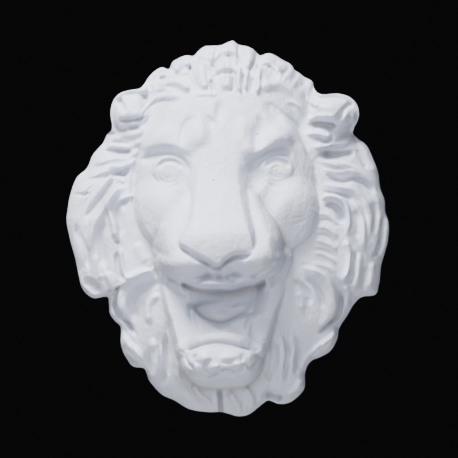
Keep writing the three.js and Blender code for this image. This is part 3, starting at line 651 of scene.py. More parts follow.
LEFT_BEARD_FOLDS = (
    (((-84, -50), (-104, -53), (-122, -62), (-130, -77), (-131, -93), (-125, -106),
        (-112, -122)), 18, 6, 7, (0.2, 0.3)),
    (((-78, -66), (-96, -68), (-110, -76), (-116, -92), (-108, -112)), 8, 8, -3),
    (((-80, -80), (-92, -84), (-98, -98), (-94, -116)), 7, 7, 3),
    (((-136, -80), (-135, -94), (-130, -106), (-120, -114), (-110, -130)), 3, 5, -7, (0.2, 0.2)),
    (((-142, -70), (-143, -84), (-140, -100), (-132, -112)), 5, 5, 3),
    (((-128, -120), (-124, -136), (-112, -148), (-102, -162), (-97, -182)), 7, 12, 7, (0.2, 0.25)),
    (((-128, -146), (-116, -156), (-104, -168)), 5, 5, 3),
    (((-92, -130), (-88, -150), (-88, -170), (-92, -188)), 8, 8, 5),
    (((-76, -124), (-75, -148), (-76, -170), (-80, -192)), 6, 6, -5),
    (((-66, -120), (-64, -146), (-60, -170), (-50, -196)), 9, 9, 4),
    (((-58, -164), (-52, -184), (-36, -204), (-20, -216)), 4, 6, -4),
    (((-46, -186), (-34, -202), (-18, -214)), 8, 6, 6),
    (((-12, -188), (-10, -203), (-9, -222)), 4, 4, -11, (0.3, 0.05)),
    (((0, -194), (8, -208), (16, -222)), 6, 9, 5),
    (((18, -190), (28, -202), (30, -216)), 5, 7, 4),
)
RIGHT_BEARD_FOLDS = (
    (((84, -46), (104, -50), (119, -61), (127, -78), (128, -97), (121, -111),
        (108, -124)), 5, 18, 6, (0.2, 0.3)),
    (((76, -62), (88, -68), (97, -80), (98, -94)), 4, 6, -3),
    (((92, -58), (104, -68), (112, -82), (113, -98)), 4, 6, -3),
    (((82, -76), (88, -86), (88, -100)), 6, 6, 2.5),
    (((133, -72), (135, -90), (131, -105), (120, -115), (106, -128)), 4, 3, -8, (0.2, 0.2)),
    (((139, -66), (144, -80), (142, -98)), 6, 6, 4),
    (((130, -116), (124, -132), (108, -143), (95, -156), (88, -174)), 12, 7, 7, (0.2, 0.25)),
    (((130, -134), (118, -146), (103, -155)), 5, 5, 3),
    (((52, -130), (54, -152), (50, -172), (42, -190)), 6, 6, -4),
    (((64, -130), (66, -152), (64, -174), (62, -192)), 8, 8, 4),
    (((76, -126), (80, -146), (76, -166)), 6, 6, 3),
    (((46, -176), (44, -190), (34, -206)), 6, 5, 4),
    (((42, -196), (54, -201), (66, -204)), 7, 7, -11, (0.3, 0.2)),
    (((90, -180), (82, -194), (66, -202)), 6, 8, 6),
    (((84, -140), (84, -160), (80, -178)), 5, 5, -3),
)
RIGHT_MANE_FOLDS = (
    (((98, 84), (124, 79), (148, 74), (168, 60), (180, 38), (184, 8)), 6, 8, 5, (0.2, 0.3)),
    (((116, 66), (134, 58), (150, 60), (165, 56), (178, 42)), 3.5, 7, -6),
    (((110, 72), (128, 68), (144, 69), (160, 65)), 4, 5, 2.5),
    (((112, 54), (134, 50), (150, 47), (164, 34), (171, 14), (172, -14)), 5, 8, 5, (0.2, 0.3)),
    (((114, 45), (126, 43), (140, 40), (152, 37)), 2.5, 5, -4),
    (((144, 36), (154, 27), (161, 12), (163, -8), (162, -32)), 5, 7, 4),
    (((174, 36), (177, 15), (173, -10)), 5, 4, -3),
    (((187, 24), (185, -6), (180, -26), (171, -36)), 6, 4, -7, (0.3, 0.2)),
    (((152, 24), (155, 6), (153, -14)), 5, 5, -3),
    (((110, 34), (119, 39), (130, 38), (139, 32), (144, 20), (145, 6), (142, -11)), 4, 5, 8, (0.15, 0.2)),
    (((115, 27), (125, 27), (133, 20), (137, 6)), 6, 6, -9),
    (((106, 17), (115, 17), (124, 12), (131, 2)), 6, 3, 2),
    (((106, 1), (115, 1), (124, -4), (131, -13)), 6, 3, 3),
    (((104, -15), (113, -16), (123, -21), (131, -29)), 6, 3, 3),
    (((102, -29), (112, -31), (123, -36), (130, -44)), 5, 3, 2.5),
    (((98, -42), (110, -44), (122, -48), (129, -56)), 5, 4, 2),
    (((108, 9.5), (118, 10.5), (125, 8), (131, 0)), 2, 2, -2.5),
    (((105, -8), (115, -7.5), (123, -11), (131, -19)), 2, 2, -2.5),
    (((101, -25), (111, -25.5), (121, -29), (130, -36)), 2, 2, -2.5),
    (((140, -12), (146, -30), (144, -50), (136, -66)), 5, 5, 7, (0.15, 0.2)),
    (((153, -26), (149, -42), (147, -58), (141, -70)), 4, 3, -7),
    (((158, -26), (157, -46), (154, -64), (148, -82)), 6, 6, 4),
    (((166, -44), (164, -62), (160, -80)), 4, 4, -3),
    (((174, -38), (173, -56), (170, -74)), 6, 6, 4),
)
RIGHT_TEMPLE_FOLDS = (
    (((33, 194), (43, 199), (52, 196), (57.5, 187), (58, 176)), 9, 3, 4),
    (((38, 188), (46, 190), (52, 184), (50, 174)), 9, 9, -5),
    (((32, 189), (40, 196), (50, 194), (56.5, 185), (57, 175)), 7, 2.4, -5),
    (((60, 206), (57, 200), (52, 194)), 3, 3, -3),
    (((74, 197), (70, 190), (62, 184)), 3, 3, -3.5),
    (((84, 190), (80, 183), (72, 176)), 3, 3, -3),
    (((96, 182), (90, 175), (80, 168)), 3, 3, -3),
    (((67, 202), (64, 194), (58, 188)), 4, 4, 2),
    (((80, 194), (75, 186), (66, 179)), 4, 4, 2),
    (((36, 164), (46, 173), (60, 176), (76, 167), (90, 150), (97, 134)), 9, 12, 5, (0.15, 0.2)),
    (((60, 184), (72, 180), (84, 170)), 4, 6, 3),
    (((40, 152), (52, 147), (62, 140), (74, 131), (84, 122), (92, 116)), 4, 5, -1.8),
    (((66, 150), (76, 152), (86, 146), (92, 135)), 3, 3, 2),
    (((91, 164), (92, 154), (97, 148), (106, 142)), 4, 3.5, -6),
    (((92, 130), (104, 134), (118, 134), (132, 133)), 6, 4, 3),
    (((94, 125), (107, 126), (120, 125), (132, 123)), 5, 9, -11, (0.3, 0.2)),
    (((92, 113), (106, 114), (117, 111), (127, 113)), 6, 4, 5),
    (((103, 108.5), (110, 108), (116, 105), (122, 107.5), (127, 112)), 2, 4, -4),
    (((100, 98), (116, 98), (131, 101), (150, 106)), 6, 4, 6),
    (((108, 91), (124, 90), (138, 91), (153, 93)), 4, 9, -10, (0.3, 0.2)),
    (((121, 125), (122, 118), (125, 112)), 2, 2, -2),
    (((146, 122), (150, 114), (152, 104)), 3, 3, -4),
    (((154, 108), (164, 96), (172, 80), (178, 64)), 5, 6, 4),
    (((152, 96), (160, 84), (166, 70)), 4, 4, -3),
)
# Each region of the hair, with how deep it is worked
HAIR = (
    (CROWN_FOLDS, 1.5),
    (LEFT_CROWN_FOLDS, 1.5),
    (RIGHT_TEMPLE_FOLDS, 1.4),
    (LEFT_TEMPLE_FOLDS, 1.3),
    (RIGHT_MANE_FOLDS, 1.2),
    (LEFT_MANE_FOLDS, 1.35),
    (RIGHT_BEARD_FOLDS, 1.8),
    (LEFT_BEARD_FOLDS, 1.9),
)
# The strands that the comb left on the locks: the first and the last groove, and how many
COMBS = (
    Comb(((38, 158), (45, 170), (60, 172), (76, 160), (90, 142)), ((46, 152), (52, 158), (62, 156),
        (73, 146), (84, 126)), 5),
    Comb(((-60, 168), (-82, 164), (-98, 150), (-112, 136)), ((-52, 157), (-76, 146), (-92, 128),
        (-108, 112)), 5),
    Comb(((-106, 94), (-126, 88), (-148, 84)), ((-110, 74), (-132, 68), (-156, 58)), 6),
    Comb(((-150, 60), (-172, 42), (-180, 16), (-176, -20)), ((-156, 50), (-166, 30), (-170, 4),
        (-170, -14)), 3),
    Comb(((104, 84), (128, 78), (156, 68), (176, 42)), ((112, 56), (134, 54), (154, 48), (170, 22)), 7),
    Comb(((150, 30), (160, 10), (160, -20)), ((166, 32), (172, 8), (170, -24)), 3),
    Comb(((-70, -128), (-68, -156), (-62, -180)), ((-98, -134), (-94, -158), (-92, -182)), 5),
    Comb(((58, -132), (58, -156), (54, -182)), ((82, -132), (82, -152), (78, -178)), 5),
    Comb(((-118, -126), (-112, -142), (-100, -160)), ((-126, -132), (-120, -148), (-106, -164)), 3),
    Comb(((104, -128), (98, -142), (88, -160)), ((124, -128), (114, -146), (96, -162)), 4),
    Comb(((-40, -192), (-28, -206), (-16, -216)), ((-58, -190), (-44, -206), (-30, -218)), 3),
    Comb(((2, -198), (10, -210), (12, -220)), ((30, -194), (34, -204), (28, -218)), 4),
    Comb(((-160, -30), (-160, -50), (-156, -64)), ((-148, -24), (-148, -46), (-142, -62)), 3),
    Comb(((-50, 180), (-52, 190), (-56, 204)), ((-86, 176), (-88, 182), (-92, 186)), 6, 2.2, -2.2),
    Comb(((-30, 168), (-32, 184), (-36, 206)), ((24, 168), (26, 186), (28, 214)), 9, 2.2, -2.0),
    Comb(((44, 182), (50, 196), (56, 206)), ((84, 166), (92, 174), (100, 178)), 8, 2.2, -2.4),
)


@dataclass(frozen=True)
class Bevel(Form):
    """A flat cut across a rounded form, as a scraper leaves it."""

    start: Point
    end: Point
    heights: Point
    slope: float
    reach: float
    fillet: float = 5.0
    overrun: float = 0.3

    def covers(self, x: Field, z: Field) -> Field:
        """Return the places that lie beyond the bevel's edge, within its reach."""
        along, off = self.beyond(x, z)
        ends = 2 * self.overrun
        return (off > -2 * self.fillet) & (off < self.reach) & (along > -ends) & (along < 1 + ends)

    def beyond(self, x: Field, z: Field) -> tuple[Field, Field]:
        """Return the share along the edge and the distance beyond it, on its right.

        Args:
            x: Places across, in millimetres.
            z: Places up, in millimetres.

        Returns:
            The share of the edge's length, and the distance in millimetres.
        """
        length = math.hypot(self.end[0] - self.start[0], self.end[1] - self.start[1])
        ux, uz = (self.end[0] - self.start[0]) / length, (self.end[1] - self.start[1]) / length
        dx, dz = x - self.start[0], z - self.start[1]
        return (dx * ux + dz * uz) / length, dx * uz - dz * ux

    def carve(self, x: Field, z: Field, height: Field) -> Field:
        """Cut the height down to the bevel.

        Args:
            x: Places across, in millimetres.
            z: Places up, in millimetres.
            height: Height over the wall before.

        Returns:
            The height after.
        """
        along, off = self.beyond(x, z)
        share = np.clip(along, -self.overrun, 1 + self.overrun)
        edge = self.heights[0] + (self.heights[1] - self.heights[0]) * share
        return -blend(-height, -(edge - self.slope * off), self.fillet)


@dataclass
class Forehead(Carving):
    """The skull's dome with the brows, and the bosses and furrows between them."""

    middle: Point = (-3.0, 62.0)
    half_width: float = 114.0
    above: float = 140.0
    below: float = 104.0
    foot: float = 50.0
    top: float = 120.0
    fullness: float = 0.42
    boss: float = 7.0
    furrow: float = -7.5

    def skull(self, x: Field, z: Field) -> Field:
        """Return the plain dome under brows, eyes and cheeks.

        Args:
            x: Places across, in millimetres.
            z: Places up, in millimetres.

        Returns:
            The height over the wall.
        """
        tall, short = (
            Dome(self.middle, (self.half_width, radius), self.foot, self.top, self.fullness)
            for radius in (self.above, self.below)
        )
        return np.where(z > self.middle[1], tall.surface(x, z), short.surface(x, z))

    def forms(self) -> list[Form]:
        """Return brows, bosses, furrows and the small marks on the forehead.

        Returns:
            The forms in the order that they are carved.
        """
        brows = [
            Fold([(-112, 92), (-98, 101), (-80, 104), (-60, 100), (-40, 86)], 24, 10, 8, (0.2, 0.3)),
            Fold([(14, 82), (32, 94), (48, 101), (64, 107), (82, 103)], 22, 10, 9, (0.3, 0.2)),
        ]
        bosses = [
            Swell((-36, 113), (19, 26), 1.1 * self.boss, 8),
            Swell((17, 107), (14, 32), 1.1 * self.boss),
            Swell((60, 114), (20, 15), 0.8 * self.boss, -15),
            Swell((-78, 118), (26, 14), 0.5 * self.boss, 20),
        ]
        furrows = [
            Fold([(-34, 143), (-22, 128), (-14, 114), (-12, 90)], 8, 13, self.furrow, (0.45, 0.5)),
            Fold([(-10, 160), (-10, 144), (-12, 116)], 8, 9, 0.7 * self.furrow, (0.4, 0.5)),
            Fold([(-57, 92), (-56, 112), (-50, 127), (-34, 136)], 6, 6, 0.45 * self.furrow),
            Fold([(30, 132), (34, 118), (34, 104), (31, 86)], 14, 8, self.furrow, (0.5, 0.4)),
            Fold([(32, 138), (39, 127), (46, 108)], 7, 6, 0.6 * self.furrow, (0.4, 0.5)),
            Fold([(44, 160), (52, 142), (68, 122)], 11, 11, 0.6 * self.furrow, (0.4, 0.4)),
        ]
        marks = [
            Swell((-29.5, 141), (5.5, 5.5), -1.3),
            Swell((-29.5, 141), (2.8, 2.8), 1.8),
            Fold([(-44, 87), (-36, 88)], 1.6, 1.6, 0.9),
            Swell((-12, 124), (3, 4), -2.0),
        ]
        return [*brows, *bosses, *furrows, *marks]


# An eye's rings are a little wider than high
FLATNESS = 0.9


@dataclass
class Eye(Carving):
    """One sunken eye under its brow: eyeball, lid and the rings of the lower lid."""

    at: Point
    brow: Sequence[Point]
    inner: Point
    depth: float = 6.5
    above: float = 4.5
    below: float = 11.0
    inner_depth: float = 5.0
    ball: Point = (20.0, 19.5)
    ball_top: float = 111.0
    ring_radii: Sequence[float] = (9.5, 15.0, 20.5)
    ring_turns: Point = (185.0, 320.0)

    def ring(self, radius: float, amount: float, turns: Point, width: float = 2.2) -> Form:
        """Return a thin line round the eye.

        Args:
            radius: Its distance from the middle of the eye.
            amount: Its height, negative where it is cut in.
            turns: Where it starts and ends, in degrees.
            width: Its half width.

        Returns:
            The line as a fold.
        """
        angles = np.radians(np.linspace(turns[0], turns[1], 7))
        across, up = radius, FLATNESS * radius
        points = [(self.at[0] + across * math.cos(a), self.at[1] + up * math.sin(a)) for a in angles]
        return Fold(points, width, width, amount, (0.15, 0.15))

    def forms(self) -> list[Form]:
        """Return the hollow under the brow, the eyeball, the lid and the rings.

        Returns:
            The forms in order, the hollow first.
        """
        rings = [self.ring(radius, -1.3, self.ring_turns, 2.4) for radius in self.ring_radii]
        iris = [self.ring(5.5, -1.2, (0.0, 350.0), 2.0), Swell(self.at, (3, 3), -1.4)]
        return [
            Fold(self.brow, self.above, self.below, -self.depth, (0.15, 0.2)),
            Swell(self.inner, (17, 22), -self.inner_depth),
            Dome(self.at, self.ball, self.ball_top - 11, self.ball_top, 0.45, 2.0),
            self.ring(14.5, -5.5, (165.0, 10.0), 4.5),
            self.ring(18.6, 2.2, (172.0, 8.0), 2.6),
            *rings,
            *iris,
        ]


@dataclass
class Cheek(Carving):
    """One cheekbone: a rounded mass that turns to a flat plane along its lower outer side."""

    mass: Dome
    bevels: Sequence[Bevel]
    marks: Sequence[Form] = ()

    def forms(self) -> list[Form]:
        """Return the mass, the planes cut on it and its tool marks."""
        return [self.mass, *self.bevels, *self.marks]


@dataclass
class Prow:
    """A mass that stands forward along the middle of the face, given at stations down it.

    Each station holds the level, the height of the front, its left and right edge, the width of
    the left and of the right side, and how far the sides fall.
    """

    stations: Sequence[Sequence[float]]
    crown: float = 0.0052
    swollen: bool = False
    steepness: float = 2.2
    brow_level: float = 70.0
    brow_steepness: float = 0.8

    def surface(self, x: Field, z: Field) -> Field:
        """Return the height of the mass, falling away on both sides.

        Args:
            x: Places across, in millimetres.
            z: Places up, in millimetres.

        Returns:
            The height over the wall.
        """
        down = [-row[0] for row in self.stations]
        front, left, right, left_side, right_side, fall = (
            through(-z, down, [row[k] for row in self.stations]) for k in range(1, 7)
        )
        middle = 0.5 * (left + right)
        off = np.clip(np.where(x < middle, left - x, x - right), 0, None)
        side = np.where(x < middle, left_side, right_side)
        t = np.clip(off / side, 0, 1)
        flank = 1 - np.sqrt(1 - t * t) if self.swollen else t * t * (3 - 2 * t)
        steepness = np.where(z > self.brow_level, self.brow_steepness, self.steepness)
        beyond = np.clip(off - side, 0, None) * steepness
        return front - fall * flank - beyond - self.crown * (x - middle) ** 2


@dataclass
class Muzzle(Carving):
    """The flanks beside the nose, the two pads under it and the upper lip."""

    flanks: Prow = field(default_factory=lambda: Prow(FLANK_STATIONS, 0.0, True, 3.0))
    flank_span: Point = (-56.0, 60.0)
    flank_fillet: float = 4.0
    pads: Sequence[Point] = ((-46, -38), (28, -35))
    pad_radii: Point = (39.0, 29.0)
    pad_foot: float = 114.0
    pad_top: float = 181.0
    pad_fullness: float = 0.55
    pad_fillet: float = 5.0
    middle: Dome = Dome((-10, -46), (24, 18), 122, 172, 0.5, 5)

    def carve(self, x: Field, z: Field, height: Field) -> Field:
        """Return the height with the flanks and the pads joined to it.

        Args:
            x: Places across, in millimetres.
            z: Places up, in millimetres.
            height: Height over the wall before.

        Returns:
            The height after.
        """
        low, high = self.flank_span
        flanks = np.where((z < high) & (z > low), self.flanks.surface(x, z), 0)
        height = self.middle.apply(x, z, blend(height, flanks, self.flank_fillet))
        for at in self.pads:
            sizes = (self.pad_foot, self.pad_top, self.pad_fullness, self.pad_fillet)
            pad = Dome(at, self.pad_radii, *sizes)
            height = pad.apply(x, z, height)
        return height

    def details(self) -> list[Form]:
        """Return the lip and furrows, carved once the nose stands.

        Returns:
            The forms in the order that they are carved.
        """
        lip = [(-77, -48.5), (-68, -55.5), (-56, -61.5), (-40, -65.5), (-22, -66.5), (2, -66.5), (20, -63.5),
               (34, -57.5), (46, -50), (58, -40)]
        lip_heights = [106, 138, 155, 163, 165, 165, 163, 157, 142, 108]
        furrow = [(-88, -36), (-80, -45), (-73, -51), (-58, -61), (-42, -63.5), (-27, -61), (-16, -56)]
        right_furrow = [(-4, -57.5), (3, -62.5), (10, -63.5), (22, -61), (40, -52.5), (60, -40)]
        under_nose = [(-61, -21), (-50, -28.5), (-34, -38), (-21, -44), (-13, -48), (-3, -40), (7, -34),
                      (22, -33), (31, -28)]
        return [
            # The lip, the furrows over it and the shadow line under the nose
            Ridge(lip, 4.4, lip_heights, 7, 2),
            Fold(furrow, 3.4, 2.8, -6.5, (0.15, 0.2)),
            Fold(right_furrow, 3.6, 2.8, -8.5, (0.12, 0.15)),
            Fold(under_nose, 3.0, 4.6, -9.5, (0.12, 0.12)),
            # Fine furrows beside them
            Fold([(8, -58.5), (20, -54), (36, -47), (54, -38)], 2.2, 2.2, -2.2),
            Fold([(-74, -44), (-64, -50), (-54, -55)], 2.4, 2.4, -1.6),
            # The parting under the nose and the small folds at it
            Fold([(-13, -43), (-12, -50), (-11, -58), (-11, -67)], 5, 5, -6.5, (0.3, 0.3)),
            Fold([(-19, -46.5), (-10, -46)], 2.0, 2.0, -2.6),
            Fold([(-17, -53), (-9, -51.5)], 2.2, 2.2, 4.0),
            Fold([(2, -56), (6, -51), (12, -50)], 2.2, 2.2, 1.6),
            # Edges on the lip
            Fold([(-58, -65), (-40, -67.5), (-24, -67), (-17, -62.5)], 1.8, 1.8, 1.6),
            Fold([(0, -65), (12, -67), (28, -62.5), (46, -53)], 2.0, 2.0, 1.5),
            Fold([(22, -52), (34, -47), (46, -40)], 2.0, 2.0, 1.2),
        ]


@dataclass
class Nose:
    """The flat-fronted nose from the brows down to its overhanging end."""

    prow: Prow = field(default_factory=lambda: Prow(NOSE_STATIONS))
    under_slope: float = 4.6
    round_under: float = 5.0
    round_reach: float = 6.0
    fillet: float = 4.0

    def carve(self, x: Field, z: Field, height: Field) -> Field:
        """Return the height with the nose joined to it.

        Args:
            x: Places across, in millimetres.
            z: Places up, in millimetres.
            height: Height over the wall before.

        Returns:
            The height after.
        """
        foot = profile(x, NOSE_UNDERSIDE)
        below = foot - z
        rounded = self.round_under * np.clip(1 + below / self.round_reach, 0, 1) ** 2
        under = self.under_slope * np.clip(below, 0, None) + rounded
        surface = self.prow.surface(x, z) - under
        return np.where(z < NOSE_STATIONS[0][0], blend(height, surface, self.fillet), height)


NOSE_STATIONS = (
    (152, 98, -26, 22, 40, 40, 0),
    (120, 113, -25, 19, 36, 36, 2),
    (94, 123, -28, 12, 22, 26, 8),
    (64, 134, -35, 9, 17, 24, 20),
    (45, 147, -37, 12, 17, 22, 27),
    (28, 160, -39, 16, 15, 20, 28),
    (10, 175, -42, 19, 14, 18, 27),
    (0, 183, -47, 23, 12, 16, 29),
    (-8, 187.5, -53, 26, 10, 13, 32),
    (-16, 188.5, -57, 28, 8, 11, 33),
    (-28, 187.5, -57, 29, 8, 9, 32),
    (-44, 184, -50, 24, 8, 8, 26),
)
FLANK_STATIONS = (
    (62, 100, -44, 22, 6, 8, 16),
    (50, 119, -42, 22, 6, 8, 18),
    (40, 131, -46, 26, 10, 10, 24),
    (28, 142, -54, 30, 12, 12, 30),
    (12, 152, -62, 38, 16, 16, 36),
    (0, 159, -64, 41, 20, 19, 42),
    (-15, 165, -64, 44, 21, 20, 48),
    (-30, 168, -62, 42, 21, 22, 56),
    (-42, 166, -56, 38, 22, 22, 64),
    (-56, 150, -50, 32, 22, 22, 70),
)
NOSE_UNDERSIDE = (
    (-64, -18.5), (-60, -20.5), (-52, -25.5), (-43, -30.5), (-34, -36), (-25, -40.5), (-16, -45), (-11, -45),
    (-4, -38.5), (6, -32.5), (14, -31), (23, -31), (29, -28), (34, -21),
)


@dataclass
class Mouth:
    """The open mouth: a hollow whose floor rises towards the lower lip, with a fold on its left."""

    edge: Loop = field(default_factory=lambda: Loop(MOUTH_EDGE, (-6, -90), rounded=True))
    floor: float = 70.0
    rise: float = 0.42
    rise_from: float = -78.0
    rise_reach: float = 60.0
    shelf_left: float = -52.0
    shelf_top: float = 116.0
    shelf_slope: float = 0.9
    shelf_foot: float = -87.0
    shelf_fall: float = 3.0
    shelf_reach: float = 14.0
    sharpness: float = 3.0
    left_softness: float = 6.0
    left_span: tuple[Point, Point, Point] = ((-30, -46), (-94, -84), (-68, -80))
    right_softness: float = 13.0
    right_span: tuple[Point, Point, Point] = ((4, 30), (-112, -98), (-60, -74))

    def softness(self, amount: float, span: tuple[Point, Point, Point], x: Field, z: Field) -> Field:
        """Return how much softer the mouth's edge is at one side.

        Args:
            amount: The softening in millimetres.
            span: Where it sets in: across, from below and from above.
            x: Places across, in millimetres.
            z: Places up, in millimetres.

        Returns:
            The softening at each place.
        """
        across, below, above = span
        return amount * ease(*across, x) * ease(*below, z) * ease(*above, z)

    def carve(self, x: Field, z: Field, height: Field) -> Field:
        """Return the height with the mouth sunk into it.

        Args:
            x: Places across, in millimetres.
            z: Places up, in millimetres.
            height: Height over the wall before.

        Returns:
            The height after.
        """
        floor = self.floor + self.rise * np.clip(self.rise_from - z, 0, self.rise_reach)
        under = self.shelf_fall * np.clip(self.shelf_foot - z, 0, None)
        shelf = self.shelf_top - self.shelf_slope * (x - self.shelf_left) - under
        floor = blend(floor, np.where(z > self.shelf_foot - self.shelf_reach, shelf, 0), 4)
        left = self.softness(self.left_softness, self.left_span, x, z)
        right = self.softness(self.right_softness, self.right_span, x, z)
        reach = self.sharpness + left + right
        share = np.clip((self.edge.inside(x, z) + reach) / (2 * reach), 0, 1)
        share = share * share * (3 - 2 * share)
        return height * (1 - share) + floor * share

    def forms(self) -> list[Form]:
        """Return the shadow line under the lip and what shows inside the mouth.

        Returns:
            The forms in the order that they are carved.
        """
        under_lip = [(-86, -42), (-78, -51.5), (-66, -61.5), (-50, -68.5), (-30, -72.5), (-10, -73.5),
                     (8, -73), (24, -69.5), (40, -62), (55, -50.5), (68, -34)]
        return [
            Fold(under_lip, 2.6, 4.2, -10, (0.08, 0.08)),
            Fold([(-48, -89), (-34, -89), (-18, -88)], 3, 6, -3, (0.1, 0.5)),
            Fold([(0, -99), (10, -95), (20, -95), (32, -100)], 6, 5, 4, (0.4, 0.2)),
            Fold([(-30, -101), (-14, -104), (2, -103)], 5, 5, 1.8),
        ]


MOUTH_EDGE = (
    (-52, -64), (-52, -80), (-50, -88), (-42, -97), (-32, -106.5), (-22, -111.5), (-10, -114.5), (0, -112.5),
    (8, -108.5), (18, -104.5), (28, -99.5), (33, -94), (36, -86), (38, -76), (40, -60), (31, -62),
    (18, -66), (5, -69), (-10, -70), (-24, -69.5), (-36, -68), (-46, -65.5),
)


@dataclass
class LowerJaw:
    """The trough of the lower jaw with its lip and the rough chin under it."""

    way: Way = field(default_factory=lambda: Way(JAW_LINE))
    limb_width: float = 17.0
    limb_drop: float = 13.0
    limb_fall: float = 2.4
    floor_top: float = 121.0
    floor_at: Point = (-7.0, -124.0)
    floor_half: float = 30.0
    floor_reach: float = 60.0
    floor_slopes: tuple[float, float, float] = (0.5, 1.4, 4.0)
    floor_end: float = -150.0
    lip_top: float = 141.0
    lip_width: float = 10.0
    lip_falls: Point = (4.0, 20.0)
    lip_drop: float = 9.0
    lip_fillet: float = 5.0
    chin_at: Point = (-9.5, -150.0)
    chin_half: float = 50.0
    chin_above: float = 16.0
    chin_below: float = 39.5
    chin_foot: float = 84.0
    chin_lean: float = 0.04
    chin_arch: float = 0.0085
    chin_skirt: float = 60.0
    chin_squareness: tuple[float, float, float] = (2.8, 3.2, 3.4)
    chin_fullness: Point = (0.36, 0.42)

    def trough(self, x: Field, z: Field) -> Field:
        """Return the height of the trough that runs from corner to corner of the mouth.

        Args:
            x: Places across, in millimetres.
            z: Places up, in millimetres.

        Returns:
            The height over the wall.
        """
        along, side = self.way.measure(x, z)
        q = np.abs(side) / self.limb_width
        beyond = np.clip(q - 1, 0, None) * self.limb_width * self.limb_fall
        wall = profile(along, JAW_HEIGHTS) - self.limb_drop * np.clip(q, 0, 1) ** 4 - beyond
        middle, level = self.floor_at
        back, aside, front = self.floor_slopes
        floor = self.floor_top - back * np.clip(z - level, 0, self.floor_reach)
        floor = floor - aside * np.clip(np.abs(x - middle) - self.floor_half, 0, self.floor_reach)
        floor = floor - front * np.clip(self.floor_end - z, 0, self.floor_reach)
        return blend(wall, floor, 4)

    def chin(self, x: Field, z: Field) -> Field:
        """Return the height of the chin: full in front and rolled under at its foot.

        Args:
            x: Places across, in millimetres.
            z: Places up, in millimetres.

        Returns:
            The height over the wall.
        """
        level = profile(-z, CHIN_LEVELS)
        dx, dz = x - self.chin_at[0], z - self.chin_at[1]
        over = dz > 0
        tall = np.maximum(self.chin_above - self.chin_arch * dx**2, 4)
        u = (dx + self.chin_lean * dz) / self.chin_half
        v = dz / np.where(over, tall, self.chin_below)
        across, above, below = self.chin_squareness
        r = np.abs(u) ** across + np.abs(v) ** np.where(over, above, below)
        roundness = np.clip(1 - r, 0, 1) ** np.where(over, *self.chin_fullness)
        inner = self.chin_foot + (level - self.chin_foot) * roundness
        return np.where(r < 1, inner, self.chin_foot - (r - 1) * self.chin_skirt)

    def carve(self, x: Field, z: Field, height: Field) -> Field:
        """Return the height with jaw, lip and chin joined to it.

        Args:
            x: Places across, in millimetres.
            z: Places up, in millimetres.
            height: Height over the wall before.

        Returns:
            The height after.
        """
        height = blend(height, self.trough(x, z), 6)
        near, far = (self.lip_top - fall for fall in self.lip_falls)
        heights = [far, near, self.lip_top, near, far]
        lip = Ridge(LIP_LINE, self.lip_width, heights, self.lip_drop, self.lip_fillet)
        height = lip.apply(x, z, height)
        return blend(height, self.chin(x, z), 3)

    def details(self) -> list[Form]:
        """Return the lines of the lip and the tufts on the chin.

        Returns:
            The forms in the order that they are carved.
        """
        under_lip = [(-51, -148), (-40, -142.5), (-28, -138.5), (-12, -136.5), (6, -139), (30, -148)]
        over_lip = [(-42, -129), (-24, -124), (-10, -122.5), (2, -123), (14, -126), (26, -129)]
        under_chin = [(-57, -165), (-50, -178), (-38, -188), (-22, -192), (-2, -192.5), (18, -190),
                      (31, -182), (40, -166)]
        left_tuft = [(-52, -167), (-46, -174), (-38, -177), (-26, -178.5), (-15, -175), (-8, -170.5)]
        return [
            # Lines round the lip, the chin's foot and the trough's sides
            Fold(under_lip, 2.4, 2.4, -5.0, (0.1, 0.1)),
            Fold(over_lip, 2.6, 2.4, -6.0),
            Fold(under_chin, 4, 6, -15, (0.15, 0.15)),
            Fold([(-46, -92), (-43, -106), (-38, -119), (-33, -126)], 3.5, 3, -3.5),
            Fold([(32, -92), (25, -108), (22, -119), (21, -127)], 3, 4, -4.5),
            Fold([(-62, -146), (-55, -149), (-47, -152)], 2.4, 2.4, -3.2),
            Fold([(28, -149), (33, -147), (38, -143)], 2.4, 2.4, -2.6),
            Fold([(-14, -117), (-9, -119), (-4, -117)], 4, 4, -2.5),
            # Lumps of the chin, then the crooked lines between its tufts
            Swell((-29, -155), (11, 9), 5.0),
            Swell((2, -154), (15, 8), 4.0),
            Swell((27, -153), (9, 9), 4.0),
            Swell((-16, -166), (8, 5), 5.0),
            Swell((11, -163), (9, 5), 5.0),
            Swell((-45, -160), (6, 8), 3.5),
            Swell((-25, -184), (14, 4.5), 3.0, 8),
            Swell((12, -183), (14, 4.5), 3.0, -8),
            Fold(left_tuft, 2.4, 3, -9, (0.12, 0.15)),
            Fold([(-24, -176), (-28.5, -168), (-26.5, -161), (-19, -157)], 2.4, 2.6, -7, (0.15, 0.2)),
            Fold([(-11, -171), (0, -170), (10, -172), (17, -168.5), (20, -162)], 2.4, 3, -9, (0.15, 0.15)),
            Fold([(19, -163), (26, -167), (32, -164.5), (38, -156)], 2.4, 2.8, -8, (0.15, 0.2)),
            Fold([(-53, -152), (-49, -162), (-42, -170)], 2.6, 2.2, -6, (0.15, 0.2)),
            Fold([(-39, -151), (-41, -158), (-36, -164)], 2.4, 2.4, -5, (0.15, 0.2)),
            Fold([(-8, -160), (-2, -161), (6, -158)], 2.4, 2.6, -4, (0.2, 0.2)),
            Fold([(14, -152), (17, -156), (15, -160)], 2.4, 2.4, -3.5, (0.2, 0.2)),
        ]


